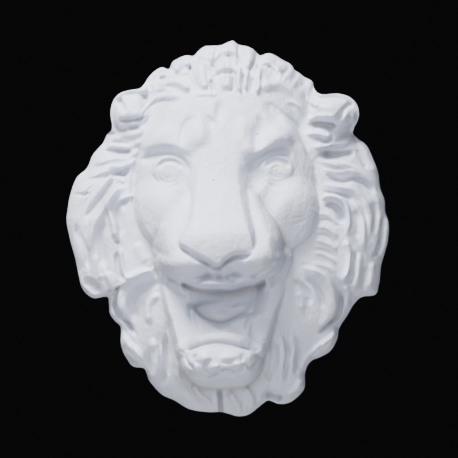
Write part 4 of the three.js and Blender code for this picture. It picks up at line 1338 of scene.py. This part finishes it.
JAW_LINE = (
    (-68, -54), (-65, -88), (-58, -116), (-48, -134), (-8, -141), (30, -135), (39, -116), (49, -88),
    (56, -54),
)
JAW_HEIGHTS = (
    (0, 94), (0.12, 102), (0.25, 111), (0.38, 120), (0.5, 128), (0.62, 119), (0.75, 109), (0.88, 98),
    (1, 90),
)
LIP_LINE = ((-53, -144), (-34, -136.5), (-11, -132.5), (10, -135.5), (33, -144))
CHIN_LEVELS = ((134, 137), (140, 140), (148, 142), (158, 144), (168, 143.5), (178, 140), (189, 132))


@dataclass
class Relief:
    """The whole relief as a height over the wall at every place that the viewer sees."""

    mane: Mane = field(default_factory=Mane)
    face_edge: Loop = field(default_factory=lambda: Loop(FACE_EDGE, (-2, 10)))
    forehead: Forehead = field(default_factory=Forehead)
    muzzle: Muzzle = field(default_factory=Muzzle)
    nose: Nose = field(default_factory=Nose)
    mouth: Mouth = field(default_factory=Mouth)
    jaw: LowerJaw = field(default_factory=LowerJaw)
    rounding: float = 13.0
    band: float = 25.0
    edge_slope: float = 5.0
    edge_fillet: float = 6.0
    hair_fall: float = 2.0
    face_fall: float = 3.0
    fall_reach: float = 100.0
    seam_fillet: float = 3.0
    temple_crease: Fold = field(default_factory=lambda: Fold(TEMPLE_LINE, 5, 5, -5))

    def eyes(self) -> list[Eye]:
        """Return the left and the right eye.

        Returns:
            The eye on the viewer's left, then the other.
        """
        return [
            Eye(
                (-71.0, 68.5),
                ((-110, 80), (-97, 86), (-82, 89), (-66, 88), (-53, 80), (-44, 63)),
                (-49, 62),
            ),
            Eye(
                (58.5, 69.5),
                ((18, 64), (28, 76), (39, 84), (52, 91.5), (66, 93), (79, 85)),
                (32, 63),
                depth=8.5,
                above=6.5,
                inner_depth=9.0,
            ),
        ]

    def cheeks(self) -> list[Cheek]:
        """Return the left and the right cheek.

        Returns:
            The cheek on the viewer's left, then the other.
        """
        left = Dome((-79, 20), (41, 56), 58, 124, 0.6, 12)
        right = Dome((70, 20), (44, 58), 58, 123, 0.6, 12)
        left_bevels = (Bevel((-112, 46), (-84, 4), (108, 119), 0.7, 40, 9),)
        right_bevels = (Bevel((58, 12), (102, 34), (121, 112), 0.5, 44, 9),)
        marks = (
            Fold([(73, 10), (82, 13), (94, 14)], 2, 2, -0.8),
            Fold([(78, 2), (88, 8), (98, 12)], 2, 2, -0.8),
            Swell((90, 41), (2, 2), -1.4),
            Swell((90, 37), (2, 2), -1.4),
        )
        return [Cheek(left, left_bevels), Cheek(right, right_bevels, marks)]

    def ears(self) -> list[Ear]:
        """Return the left and the right ear.

        Returns:
            The ear on the viewer's left, then the other.
        """
        left_rim = [(-102, 166), (-120, 165), (-132, 159), (-138, 147), (-138, 132), (-137, 118)]
        right_rim = [(112, 160), (130, 160), (145, 156), (153, 146), (154, 133), (148, 119)]
        left = Ear(
            Dome((-120, 142), (24, 27), 40, 80, 0.5, 6),
            [Swell((-114, 153), (20, 14), -7), Swell((-106, 138), (14, 8), 4, 25)],
            [
                Fold([(-134, 163), (-130, 155), (-126, 147), (-123, 139)], 3, 8, -13, (0.15, 0.3)),
                Fold([(-138, 131), (-122, 130), (-108, 131), (-100, 137)], 3, 5, -5),
            ],
            Ridge(left_rim, 4, [60, 57, 54, 51, 50, 48], 5, 8),
        )
        right = Ear(
            Dome((126, 142), (33, 24), 40, 84, 0.5, 6),
            [Swell((115, 150), (24, 13), 7, 0), Swell((116, 137), (22, 8), 3, 0)],
            [
                Fold([(151, 153), (145, 150), (139, 145), (134, 138), (130, 129)], 7, 3, -12, (0.15, 0.2)),
                Fold([(146, 146), (146, 134), (144, 122)], 6, 6, -4),
            ],
            Ridge(right_rim, 4, [66, 62, 57, 53, 50, 47], 5, 8),
        )
        return [left, right]

    def limit(self, x: Field, z: Field, height: Field) -> Field:
        """Return the height rounded off towards the outline.

        Args:
            x: Places across, in millimetres.
            z: Places up, in millimetres.
            height: Height over the wall before.

        Returns:
            The height after.
        """
        radius = self.mane.edge.radius(np.arctan2(z, x))
        margin = np.clip(radius - np.hypot(x, z), 0, None)
        inner = self.edge_slope * np.clip(margin - self.band, 0, None)
        cap = self.mane.rim + self.rounding * np.sqrt(margin) + inner
        return -blend(-height, -cap, self.edge_fillet)

    def hair(self, x: Field, z: Field) -> Field:
        """Return the height of mane and ears.

        Args:
            x: Places across, in millimetres.
            z: Places up, in millimetres.

        Returns:
            The height over the wall.
        """
        height = self.mane.base(x, z)
        for ear in self.ears():
            height = ear.cup.apply(x, z, height)
        height = self.mane.carve(x, z, self.limit(x, z, height))
        for ear in self.ears():
            height = ear.carve(x, z, height)
        return height

    def face(self, x: Field, z: Field) -> Field:
        """Return the height of the face.

        Args:
            x: Places across, in millimetres.
            z: Places up, in millimetres.

        Returns:
            The height over the wall.
        """
        height = self.forehead.carve(x, z, self.forehead.skull(x, z))
        eyes = self.eyes()
        for eye in eyes:
            height = eye.forms()[0].apply(x, z, height)
        for cheek in self.cheeks():
            height = cheek.carve(x, z, height)
        for eye in eyes:
            for form in eye.forms()[1:]:
                height = form.apply(x, z, height)
        height = self.muzzle.carve(x, z, height)
        height = self.nose.carve(x, z, height)
        for form in self.muzzle.details():
            height = form.apply(x, z, height)
        height = self.mouth.carve(x, z, height)
        height = self.jaw.carve(x, z, height)
        height = self.mouth.carve(x, z, height)
        for form in [*self.mouth.forms(), *self.jaw.details()]:
            height = form.apply(x, z, height)
        return height

    def height(self, x: Field, z: Field) -> Field:
        """Return the height of the relief.

        Args:
            x: Places across, in millimetres.
            z: Places up, in millimetres.

        Returns:
            The height over the wall.
        """
        within = self.face_edge.inside(x, z)
        hair = self.hair(x, z) - self.hair_fall * np.clip(within - 1, 0, self.fall_reach)
        face = self.limit(x, z, self.face(x, z))
        face = face - self.face_fall * np.clip(-within, 0, self.fall_reach)
        return self.temple_crease.apply(x, z, blend(hair, face, self.seam_fillet))


MILLIMETRE = 0.001
RECESS = "recess"
Mesh3 = np.ndarray
Colour = tuple[float, float, float]


class Noise3:
    """Smooth noise on a lattice in space, the same at every run."""

    SIDE = 64
    OFFSET = 1000.0

    def __init__(self, pitch: float, seed: int) -> None:
        """Fill the lattice.

        Args:
            pitch: Distance between lattice points, in millimetres.
            seed: Which noise of many.
        """
        self.pitch = pitch
        box = (self.SIDE, self.SIDE, self.SIDE)
        self.cells = np.random.default_rng(seed).uniform(-1, 1, box).astype(np.float32)

    def at(self, points: Mesh3) -> Field:
        """Return the noise at points.

        Args:
            points: Rows of x, y and z in millimetres.

        Returns:
            One value from -1 to 1 for each row.
        """
        scaled = points / self.pitch + self.OFFSET
        low = np.floor(scaled).astype(int)
        t = scaled - low
        t = t * t * (3 - 2 * t)
        total = np.zeros(len(points))
        for corner in np.ndindex(2, 2, 2):
            weight = np.prod(np.where(np.array(corner) == 1, t, 1 - t), axis=1)
            i, j, k = ((low + corner) % self.SIDE).T
            total += weight * self.cells[i, j, k]
        return total


@dataclass
class Raster:
    """The relief's height on an even grid, read between its points."""

    relief: Relief
    half: float = 232.0
    count: int = 930
    softness: float = 0.8
    draft: float = 9.0
    passes: int = 3
    box_share: float = 1.7

    def __post_init__(self) -> None:
        """Work out the heights, with a foot to the steep walls and a little soft all over."""
        self.step = 2 * self.half / (self.count - 1)
        line = np.linspace(-self.half, self.half, self.count)
        x, z = np.meshgrid(line, line)
        self.height = self.relief.height(x, z)
        self.height = self.drafted()
        self.height = self.soft(self.softness)

    def read(self, x: Field, z: Field, table: Field | None = None) -> Field:
        """Return the height between the grid's points.

        Args:
            x: Places across, in millimetres.
            z: Places up, in millimetres.
            table: Another table on the same grid to read instead.

        Returns:
            One height for each place.
        """
        table = self.height if table is None else table
        last = self.count - 1.001
        u = np.clip((x + self.half) / self.step, 0, last)
        v = np.clip((z + self.half) / self.step, 0, last)
        i, j = u.astype(int), v.astype(int)
        fu, fv = u - i, v - j
        near = table[j, i] * (1 - fu) + table[j, i + 1] * fu
        far = table[j + 1, i] * (1 - fu) + table[j + 1, i + 1] * fu
        return near * (1 - fv) + far * fv

    def drafted(self) -> Field:
        """Return the heights with a foot to every wall steeper than a mould lets go.

        Returns:
            A table on the same grid.
        """
        table = self.height.copy()
        fall = self.draft * self.step
        for turned in (table, table[::-1], table.T, table.T[::-1]):
            for k in range(1, len(turned)):
                np.maximum(turned[k], turned[k - 1] - fall, out=turned[k])
        return table

    def soft(self, radius: float) -> Field:
        """Return the heights blurred over a radius.

        Args:
            radius: Reach of the blur in millimetres.

        Returns:
            A table on the same grid.
        """
        table = self.height
        reach = max(1, int(radius / self.step / self.box_share))
        for _ in range(self.passes):
            for axis in (0, 1):
                pad = [(0, 0), (0, 0)]
                pad[axis] = (reach + 1, reach)
                total = np.cumsum(np.pad(table, pad, mode="edge"), axis=axis)
                size = table.shape[axis]
                high = np.take(total, np.arange(2 * reach + 1, 2 * reach + 1 + size), axis=axis)
                low = np.take(total, np.arange(size), axis=axis)
                table = (high - low) / (2 * reach + 1)
        return table


@dataclass
class Cast:
    """The plaster body: its front carved from the relief, its edge and its flat back.

    The front is a square grid drawn out to the outline, then settled so that its corners crowd on
    the steep walls. The edge is a few rings down to the wall, and the back is one flat face.
    """

    raster: Raster
    viewer: float = 1800.0
    cells: int = 298
    crowding: float = 0.84
    settle: int = 12
    settle_share: float = 0.35
    settle_depth: float = 0.4
    edge_rings: int = 7
    undercut: float = 0.03
    inset: float = 0.9975
    hollow_reach: float = 9.0
    # The edge's sides take a little of the dust and painted shade of the hollows
    edge_dust_and_shade: float = 2.0
    weave_top: float = 0.4
    weave_sink: float = 0.35
    weave_facing: Point = (0.08, 0.4)
    weave: tuple[tuple[float, float, int], ...] = ((26.0, 0.7, 3), (9.0, 0.4, 4), (4.2, 0.2, 5))

    def plan(self) -> tuple[Field, Field]:
        """Return the places of the front's corners over the outline.

        Returns:
            Tables of x and z, in millimetres.
        """
        n = self.cells + 1
        even = np.linspace(-1, 1, n)
        drawn = even * (self.crowding + (1 - self.crowding) * even**2)
        s, t = np.meshgrid(drawn, drawn)
        p = s * np.sqrt(1 - t * t / 2)
        q = t * np.sqrt(1 - s * s / 2)
        reach = self.raster.relief.mane.edge.radius(np.arctan2(q, p)) * self.inset
        return p * reach, q * reach

    def settled(self) -> tuple[Field, Field]:
        """Return the plan with its corners drawn towards steep walls.

        Returns:
            Tables of x and z, in millimetres.
        """
        x, z = self.plan()
        for _ in range(self.settle):
            y = self.settle_depth * self.raster.read(x, z)
            across = np.sqrt(np.diff(x, axis=1) ** 2 + np.diff(z, axis=1) ** 2 + np.diff(y, axis=1) ** 2)
            along = np.sqrt(np.diff(x, axis=0) ** 2 + np.diff(z, axis=0) ** 2 + np.diff(y, axis=0) ** 2)
            left, right = across[1:-1, :-1], across[1:-1, 1:]
            below, above = along[:-1, 1:-1], along[1:, 1:-1]
            total = left + right + below + above
            for table in (x, z):
                pulled = (
                    left * table[1:-1, :-2] + right * table[1:-1, 2:]
                    + below * table[:-2, 1:-1] + above * table[2:, 1:-1]
                ) / total
                table[1:-1, 1:-1] += self.settle_share * (pulled - table[1:-1, 1:-1])
        return x, z

    def place(self, x: Field, z: Field, height: Field) -> Mesh3:
        """Return points in space for places that the viewer sees.

        Args:
            x: Places across, in millimetres.
            z: Places up, in millimetres.
            height: Height over the wall at each place.

        Returns:
            Rows of x, y and z in millimetres, wall at y = 0.
        """
        nearer = 1 - height / self.viewer
        return np.stack([(x * nearer).ravel(), -height.ravel(), (z * nearer).ravel()], axis=1)

    def border(self) -> Field:
        """Return the indices of the front's border, once round.

        Returns:
            One index for each point of the border.
        """
        n = self.cells + 1
        index = np.arange(n * n).reshape(n, n)
        return np.concatenate([index[0, :-1], index[:-1, -1], index[-1, :0:-1], index[:0:-1, 0]])

    def faces(self, n_front: int) -> tuple[list[Field], Field]:
        """Return the quads of front and edge, and the corners of the back.

        Args:
            n_front: How many points the front has.

        Returns:
            Arrays of quads, and the indices round the back.
        """
        n = self.cells + 1
        index = np.arange(n * n).reshape(n, n)
        front = np.stack([index[:-1, :-1], index[:-1, 1:], index[1:, 1:], index[1:, :-1]], axis=-1)
        quads = [front.reshape(-1, 4)]
        ring = self.border()
        upper = ring
        for k in range(self.edge_rings):
            lower = n_front + k * len(ring) + np.arange(len(ring))
            quads.append(np.stack([upper, lower, np.roll(lower, -1), np.roll(upper, -1)], axis=1))
            upper = lower
        return quads, upper

    def points(self) -> tuple[Mesh3, Field]:
        """Return the body's points and how deep each lies in a hollow.

        Returns:
            Rows of x, y and z in millimetres, the front's first, and one depth for each.
        """
        x, z = self.settled()
        height = self.raster.read(x, z)
        # How deep each point lies under its surroundings, which the finish darkens with dust and painted
        # shade
        around = self.raster.read(x, z, self.raster.soft(self.hollow_reach))
        ring = self.border()
        edge_x, edge_z, rim = x.ravel()[ring], z.ravel()[ring], height.ravel()[ring]
        rows = [self.place(x, z, height)]
        recess = [around.ravel() - height.ravel()]
        for k in range(1, self.edge_rings + 1):
            share = k / self.edge_rings
            tuck = 1 - self.undercut * math.sin(math.pi * 0.5 * share)
            rows.append(self.place(edge_x * tuck, edge_z * tuck, rim * (1 - share)))
            # The edge rings get a fixed depth, so a little dust and painted shade on the sides
            recess.append(np.full(len(ring), self.edge_dust_and_shade))
        return np.vstack(rows), np.concatenate(recess)

    def mesh(self, points: Mesh3) -> bpy.types.Mesh:
        """Return the body's closed mesh, smooth but for its flat back.

        Args:
            points: Rows of x, y and z in millimetres.

        Returns:
            The mesh, in metres.
        """
        quads, back = self.faces((self.cells + 1) ** 2)
        corners = np.concatenate([np.concatenate(quads).ravel(), back[::-1]])
        count = sum(len(part) for part in quads)
        starts = np.concatenate([np.arange(count) * 4, [count * 4]])
        mesh = bpy.data.meshes.new("plaster_relief")
        mesh.vertices.add(len(points))
        mesh.loops.add(len(corners))
        mesh.polygons.add(count + 1)
        mesh.loops.foreach_set("vertex_index", corners.astype(np.int32))
        mesh.polygons.foreach_set("loop_start", starts.astype(np.int32))
        mesh.vertices.foreach_set("co", (points * MILLIMETRE).astype(np.float32).ravel())
        mesh.update(calc_edges=True)
        mesh.validate()
        smooth = np.ones(len(mesh.polygons), dtype=bool)
        smooth[-1] = False
        mesh.polygons.foreach_set("use_smooth", smooth)
        return mesh

    def build(self) -> bpy.types.Object:
        """Build the body.

        Returns:
            The plaster object, in metres.
        """
        points, recess = self.points()
        mesh = self.mesh(points)
        self.roughen(mesh, (self.cells + 1) ** 2)
        layer = mesh.attributes.new(RECESS, "FLOAT", "POINT")
        layer.data.foreach_set("value", recess.astype(np.float32))
        body = bpy.data.objects.new("plaster_relief", mesh)
        bpy.context.scene.collection.objects.link(body)
        return body

    def roughen(self, mesh: bpy.types.Mesh, n_front: int) -> None:
        """Move the front's points a little, as hand-worked plaster is never even.

        Args:
            mesh: The mesh to change.
            n_front: How many of its points the front has.
        """
        count = len(mesh.vertices)
        points = np.empty(count * 3, dtype=np.float32)
        normals = np.empty(count * 3, dtype=np.float32)
        mesh.vertices.foreach_get("co", points)
        mesh.vertex_normals.foreach_get("vector", normals)
        points = points.reshape(-1, 3) / MILLIMETRE
        normals = normals.reshape(-1, 3)
        shift = np.zeros(count)
        for pitch, amount, seed in self.weave:
            shift += amount * Noise3(pitch, seed).at(points)
        shift = np.minimum(shift, self.weave_top) - self.weave_sink
        shift *= ease(*self.weave_facing, np.abs(normals[:, 1]))
        shift[n_front:] = 0
        shift[self.border()] = 0
        points += normals * shift[:, None]
        mesh.vertices.foreach_set("co", (points * MILLIMETRE).astype(np.float32).ravel())
        mesh.update()


class Join(Enum):
    """How a node joins two values."""

    SUM = "ADD"
    PRODUCT = "MULTIPLY"


@dataclass(frozen=True)
class Grain:
    """A noise of the surface: how fine it is, how rich, how rough, and how it is drawn out."""

    scale: float
    detail: float
    rough: float
    stretch: tuple[float, float, float] = (1.0, 1.0, 1.0)


class NodeBench:
    """Sets out the nodes of one material and wires them together."""

    def __init__(self, name: str) -> None:
        """Open a new material.

        Args:
            name: Name of the material.
        """
        self.material = bpy.data.materials.new(name)
        self.material.use_nodes = True
        self.nodes = self.material.node_tree.nodes
        self.links = self.material.node_tree.links
        self.shader = self.nodes["Principled BSDF"]
        self.coords = self.nodes.new("ShaderNodeTexCoord").outputs["Object"]

    def noise(self, grain: Grain) -> bpy.types.NodeSocket:
        """Return the value of a noise.

        Args:
            grain: The noise to set out.

        Returns:
            The socket that gives its value.
        """
        mapping = self.nodes.new("ShaderNodeMapping")
        mapping.inputs["Scale"].default_value = grain.stretch
        texture = self.nodes.new("ShaderNodeTexNoise")
        texture.inputs["Scale"].default_value = grain.scale
        texture.inputs["Detail"].default_value = grain.detail
        texture.inputs["Roughness"].default_value = grain.rough
        self.links.new(self.coords, mapping.inputs["Vector"])
        self.links.new(mapping.outputs["Vector"], texture.inputs["Vector"])
        return texture.outputs["Fac"]

    def holes(self, scale: float) -> bpy.types.NodeSocket:
        """Return the distance from scattered points.

        Args:
            scale: How many points stand along a metre.

        Returns:
            The socket that gives the distance, in shares of the pitch.
        """
        texture = self.nodes.new("ShaderNodeTexVoronoi")
        texture.inputs["Scale"].default_value = scale
        self.links.new(self.coords, texture.inputs["Vector"])
        return texture.outputs["Distance"]

    def layer(self, name: str) -> bpy.types.NodeSocket:
        """Return the value of a layer of the mesh.

        Args:
            name: Name of the layer.

        Returns:
            The socket that gives its value.
        """
        node = self.nodes.new("ShaderNodeAttribute")
        node.attribute_name = name
        return node.outputs["Fac"]

    def ramp(
        self,
        source: bpy.types.NodeSocket,
        span: Point,
        ends: Point = (0.0, 1.0),
    ) -> bpy.types.NodeSocket:
        """Return a value stretched from one span to another.

        Args:
            source: The value.
            span: Its values at the two ends.
            ends: The new values there.

        Returns:
            The socket that gives the new value.
        """
        node = self.nodes.new("ShaderNodeMapRange")
        for name, value in zip(("From Min", "From Max", "To Min", "To Max"), (*span, *ends)):
            node.inputs[name].default_value = value
        self.links.new(source, node.inputs["Value"])
        return node.outputs["Result"]

    def join(
        self,
        how: Join,
        first: bpy.types.NodeSocket,
        second: bpy.types.NodeSocket | float,
    ) -> bpy.types.NodeSocket:
        """Return two values joined.

        Args:
            how: Sum or product.
            first: The first value.
            second: The second value, or a number.

        Returns:
            The socket that gives the result.
        """
        node = self.nodes.new("ShaderNodeMath")
        node.operation = how.value
        self.links.new(first, node.inputs[0])
        if isinstance(second, float):
            node.inputs[1].default_value = second
        else:
            self.links.new(second, node.inputs[1])
        return node.outputs["Value"]

    def mix(
        self,
        share: bpy.types.NodeSocket,
        ground: bpy.types.NodeSocket | Colour,
        coat: Colour,
    ) -> bpy.types.NodeSocket:
        """Return a colour laid over another.

        Args:
            share: How much of the coat covers the ground.
            ground: The colour under it.
            coat: The colour over it.

        Returns:
            The socket that gives the mixed colour.
        """
        node = self.nodes.new("ShaderNodeMix")
        node.data_type = "RGBA"
        self.links.new(share, node.inputs["Factor"])
        under, over = (s for s in node.inputs if s.type == "RGBA")
        over.default_value = (*coat, 1)
        if isinstance(ground, tuple):
            under.default_value = (*ground, 1)
        else:
            self.links.new(ground, under)
        return next(s for s in node.outputs if s.type == "RGBA")

    def bump(self, height: bpy.types.NodeSocket, strength: float, depth: float) -> None:
        """Roughen the shader's surface.

        Args:
            height: The height of the roughness.
            strength: How much of it shows.
            depth: Its depth in metres.
        """
        node = self.nodes.new("ShaderNodeBump")
        node.inputs["Strength"].default_value = strength
        node.inputs["Distance"].default_value = depth
        self.links.new(height, node.inputs["Height"])
        self.links.new(node.outputs["Normal"], self.shader.inputs["Normal"])


@dataclass(frozen=True)
class PlasterFinish:
    """Old painted plaster: a cool off-white, blotched and brushed, with pinholes painted as near-black dots
    of shade, and dust mixed with painted shade darkening the hollows.
    """

    light: Colour = (0.72, 0.755, 0.90)
    dark: Colour = (0.565, 0.595, 0.715)
    # Brownish dust together with painted shade, laid darker the deeper a place lies in a hollow
    dust_and_shade: Colour = (0.45, 0.435, 0.42)
    # Near-black painted shade for the pinholes, which have no depth in the shape
    pinhole_shade: Colour = (0.10, 0.095, 0.095)
    roughness: Point = (0.82 - 0.08, 0.82 + 0.1)
    gloss: float = 0.35
    blotches: Grain = Grain(18, 4, 0.6)
    specks: Grain = Grain(220, 5, 0.7)
    brushing: Grain = Grain(70, 4, 0.65, (1, 1, 0.2))
    sand: Grain = Grain(420, 6, 0.7)
    lumps: Grain = Grain(150, 4, 0.6)
    bristles: Grain = Grain(300, 3, 0.6, (1, 1, 0.18))
    blotch_span: Point = (0.35, 0.65)
    speck_span: Point = (0.3, 0.7)
    brush_span: Point = (0.46, 0.68)
    blotch_share: float = 0.45
    speck_share: float = 0.22
    dust_and_shade_share: float = 0.7
    brush_share: float = 0.3
    lump_share: float = 1.5
    # Hollow depths in millimetres over which the dust and painted shade sets in
    dust_and_shade_depths: Point = (0.5, 9.0)
    hole_pitch: float = 34.0
    hole_radii: Point = (0.028, 0.046)
    bump_strength: float = 0.8

    def colour(self, bench: NodeBench, specks: bpy.types.NodeSocket) -> bpy.types.NodeSocket:
        """Return the colour of the coat.

        Args:
            bench: Where the nodes are set out.
            specks: The fine specks of the coat.

        Returns:
            The socket that gives the colour.
        """
        blotches = bench.ramp(bench.noise(self.blotches), self.blotch_span)
        brushing = bench.ramp(bench.noise(self.brushing), self.brush_span)
        # Dust with painted shade: darker the deeper a place lies in a hollow
        dust_and_shade = bench.ramp(bench.layer(RECESS), self.dust_and_shade_depths)
        # Pinholes painted as near-black dots of shade
        holes = bench.ramp(bench.holes(self.hole_pitch), self.hole_radii, (1.0, 0.0))
        coats = (
            (bench.join(Join.PRODUCT, blotches, self.blotch_share), self.dark),
            (bench.join(Join.PRODUCT, specks, self.speck_share), self.dark),
            (bench.join(Join.PRODUCT, dust_and_shade, self.dust_and_shade_share), self.dust_and_shade),
            (bench.join(Join.PRODUCT, brushing, self.brush_share), self.dark),
            (holes, self.pinhole_shade),
        )
        colour = self.light
        for share, coat in coats:
            colour = bench.mix(share, colour, coat)
        return colour

    def material(self) -> bpy.types.Material:
        """Build the node material.

        Returns:
            The finished material.
        """
        bench = NodeBench("old_plaster")
        shader = bench.shader
        shader.inputs["Specular IOR Level"].default_value = self.gloss
        specks = bench.ramp(bench.noise(self.specks), self.speck_span)
        bench.links.new(self.colour(bench, specks), shader.inputs["Base Color"])
        dulled = bench.ramp(specks, (0, 1), self.roughness)
        bench.links.new(dulled, shader.inputs["Roughness"])
        lumps = bench.join(Join.PRODUCT, bench.noise(self.lumps), self.lump_share)
        grain = bench.join(Join.SUM, bench.noise(self.sand), lumps)
        grain = bench.join(Join.SUM, grain, bench.noise(self.bristles))
        bench.bump(grain, self.bump_strength, MILLIMETRE)
        return bench.material


@dataclass(frozen=True)
class Lamp:
    """A square soft light, with its place and side in metres and its power in watts."""

    name: str
    at: tuple[float, float, float]
    side: float
    power: float

    def hang(self, target: Vector) -> None:
        """Hang the light.

        Args:
            target: Where it looks, in metres.
        """
        light = bpy.data.lights.new(self.name, "AREA")
        light.shape = "SQUARE"
        light.size = self.side
        light.energy = self.power
        hung = bpy.data.objects.new(self.name, light)
        hung.location = self.at
        hung.rotation_euler = (target - Vector(self.at)).to_track_quat("-Z", "Y").to_euler()
        bpy.context.scene.collection.objects.link(hung)


@dataclass
class Studio:
    """The camera at the photograph's angle, soft lights and a pale floor, in metres."""

    distance: float = 1.8
    frame_width: float = 0.55
    half_pixel: float = 0.0006
    sensor: float = 36.0
    floor_level: float = -1.6
    floor_half: float = 2.4
    floor_paint: Colour = (0.62, 0.62, 0.62)
    floor_roughness: float = 0.8
    air: Colour = (0.004, 0.004, 0.0045)
    target: tuple[float, float, float] = (0, -0.08, 0)
    lamps: tuple[Lamp, ...] = (
        Lamp("key", (-0.75, -1.35, 2.15), 1.1, 235.0),
        Lamp("front", (-0.1, -2.5, 0.45), 2.4, 60.0),
        Lamp("back", (-1.2, 1.9, 1.6), 1.6, 22.0),
    )

    def camera(self) -> None:
        """Set the camera square before the wall plane."""
        lens = bpy.data.cameras.new("camera")
        lens.sensor_width = self.sensor
        lens.lens = self.sensor * self.distance / self.frame_width
        lens.clip_end = 50.0
        view = bpy.data.objects.new("camera", lens)
        view.location = (self.half_pixel, -self.distance, -self.half_pixel)
        view.rotation_euler = (math.pi / 2, 0, 0)
        bpy.context.scene.collection.objects.link(view)
        bpy.context.scene.camera = view

    def floor(self) -> None:
        """Lay the pale floor."""
        mesh = bpy.data.meshes.new("floor")
        w = self.floor_half
        mesh.from_pydata([(-w, -w, 0), (w, -w, 0), (w, w, 0), (-w, w, 0)], [], [(0, 1, 2, 3)])
        ground = bpy.data.objects.new("floor", mesh)
        ground.location = (0, 0, self.floor_level)
        paint = bpy.data.materials.new("floor_paint")
        paint.use_nodes = True
        shader = paint.node_tree.nodes["Principled BSDF"]
        shader.inputs["Base Color"].default_value = (*self.floor_paint, 1)
        shader.inputs["Roughness"].default_value = self.floor_roughness
        mesh.materials.append(paint)
        bpy.context.scene.collection.objects.link(ground)

    def world(self) -> None:
        """Give the room a dim even light."""
        room = bpy.data.worlds.new("room")
        room.use_nodes = True
        ground = room.node_tree.nodes["Background"]
        ground.inputs["Color"].default_value = (*self.air, 1)
        ground.inputs["Strength"].default_value = 1.0
        bpy.context.scene.world = room

    def build(self) -> None:
        """Set up camera, floor, room and lights."""
        self.camera()
        self.floor()
        self.world()
        for lamp in self.lamps:
            lamp.hang(Vector(self.target))


def main() -> None:
    """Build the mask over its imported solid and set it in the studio."""
    logging.basicConfig(level=logging.INFO, format="%(message)s")
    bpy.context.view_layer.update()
    body = Cast(Raster(Relief())).build()
    LOG.info("plaster relief: %d points", len(body.data.vertices))
    body.data.materials.append(PlasterFinish().material())
    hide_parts("lion_mask")
    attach(body, "root")
    Studio().build()
    LOG.info("studio ready")


if __name__ == "__main__":
    main()
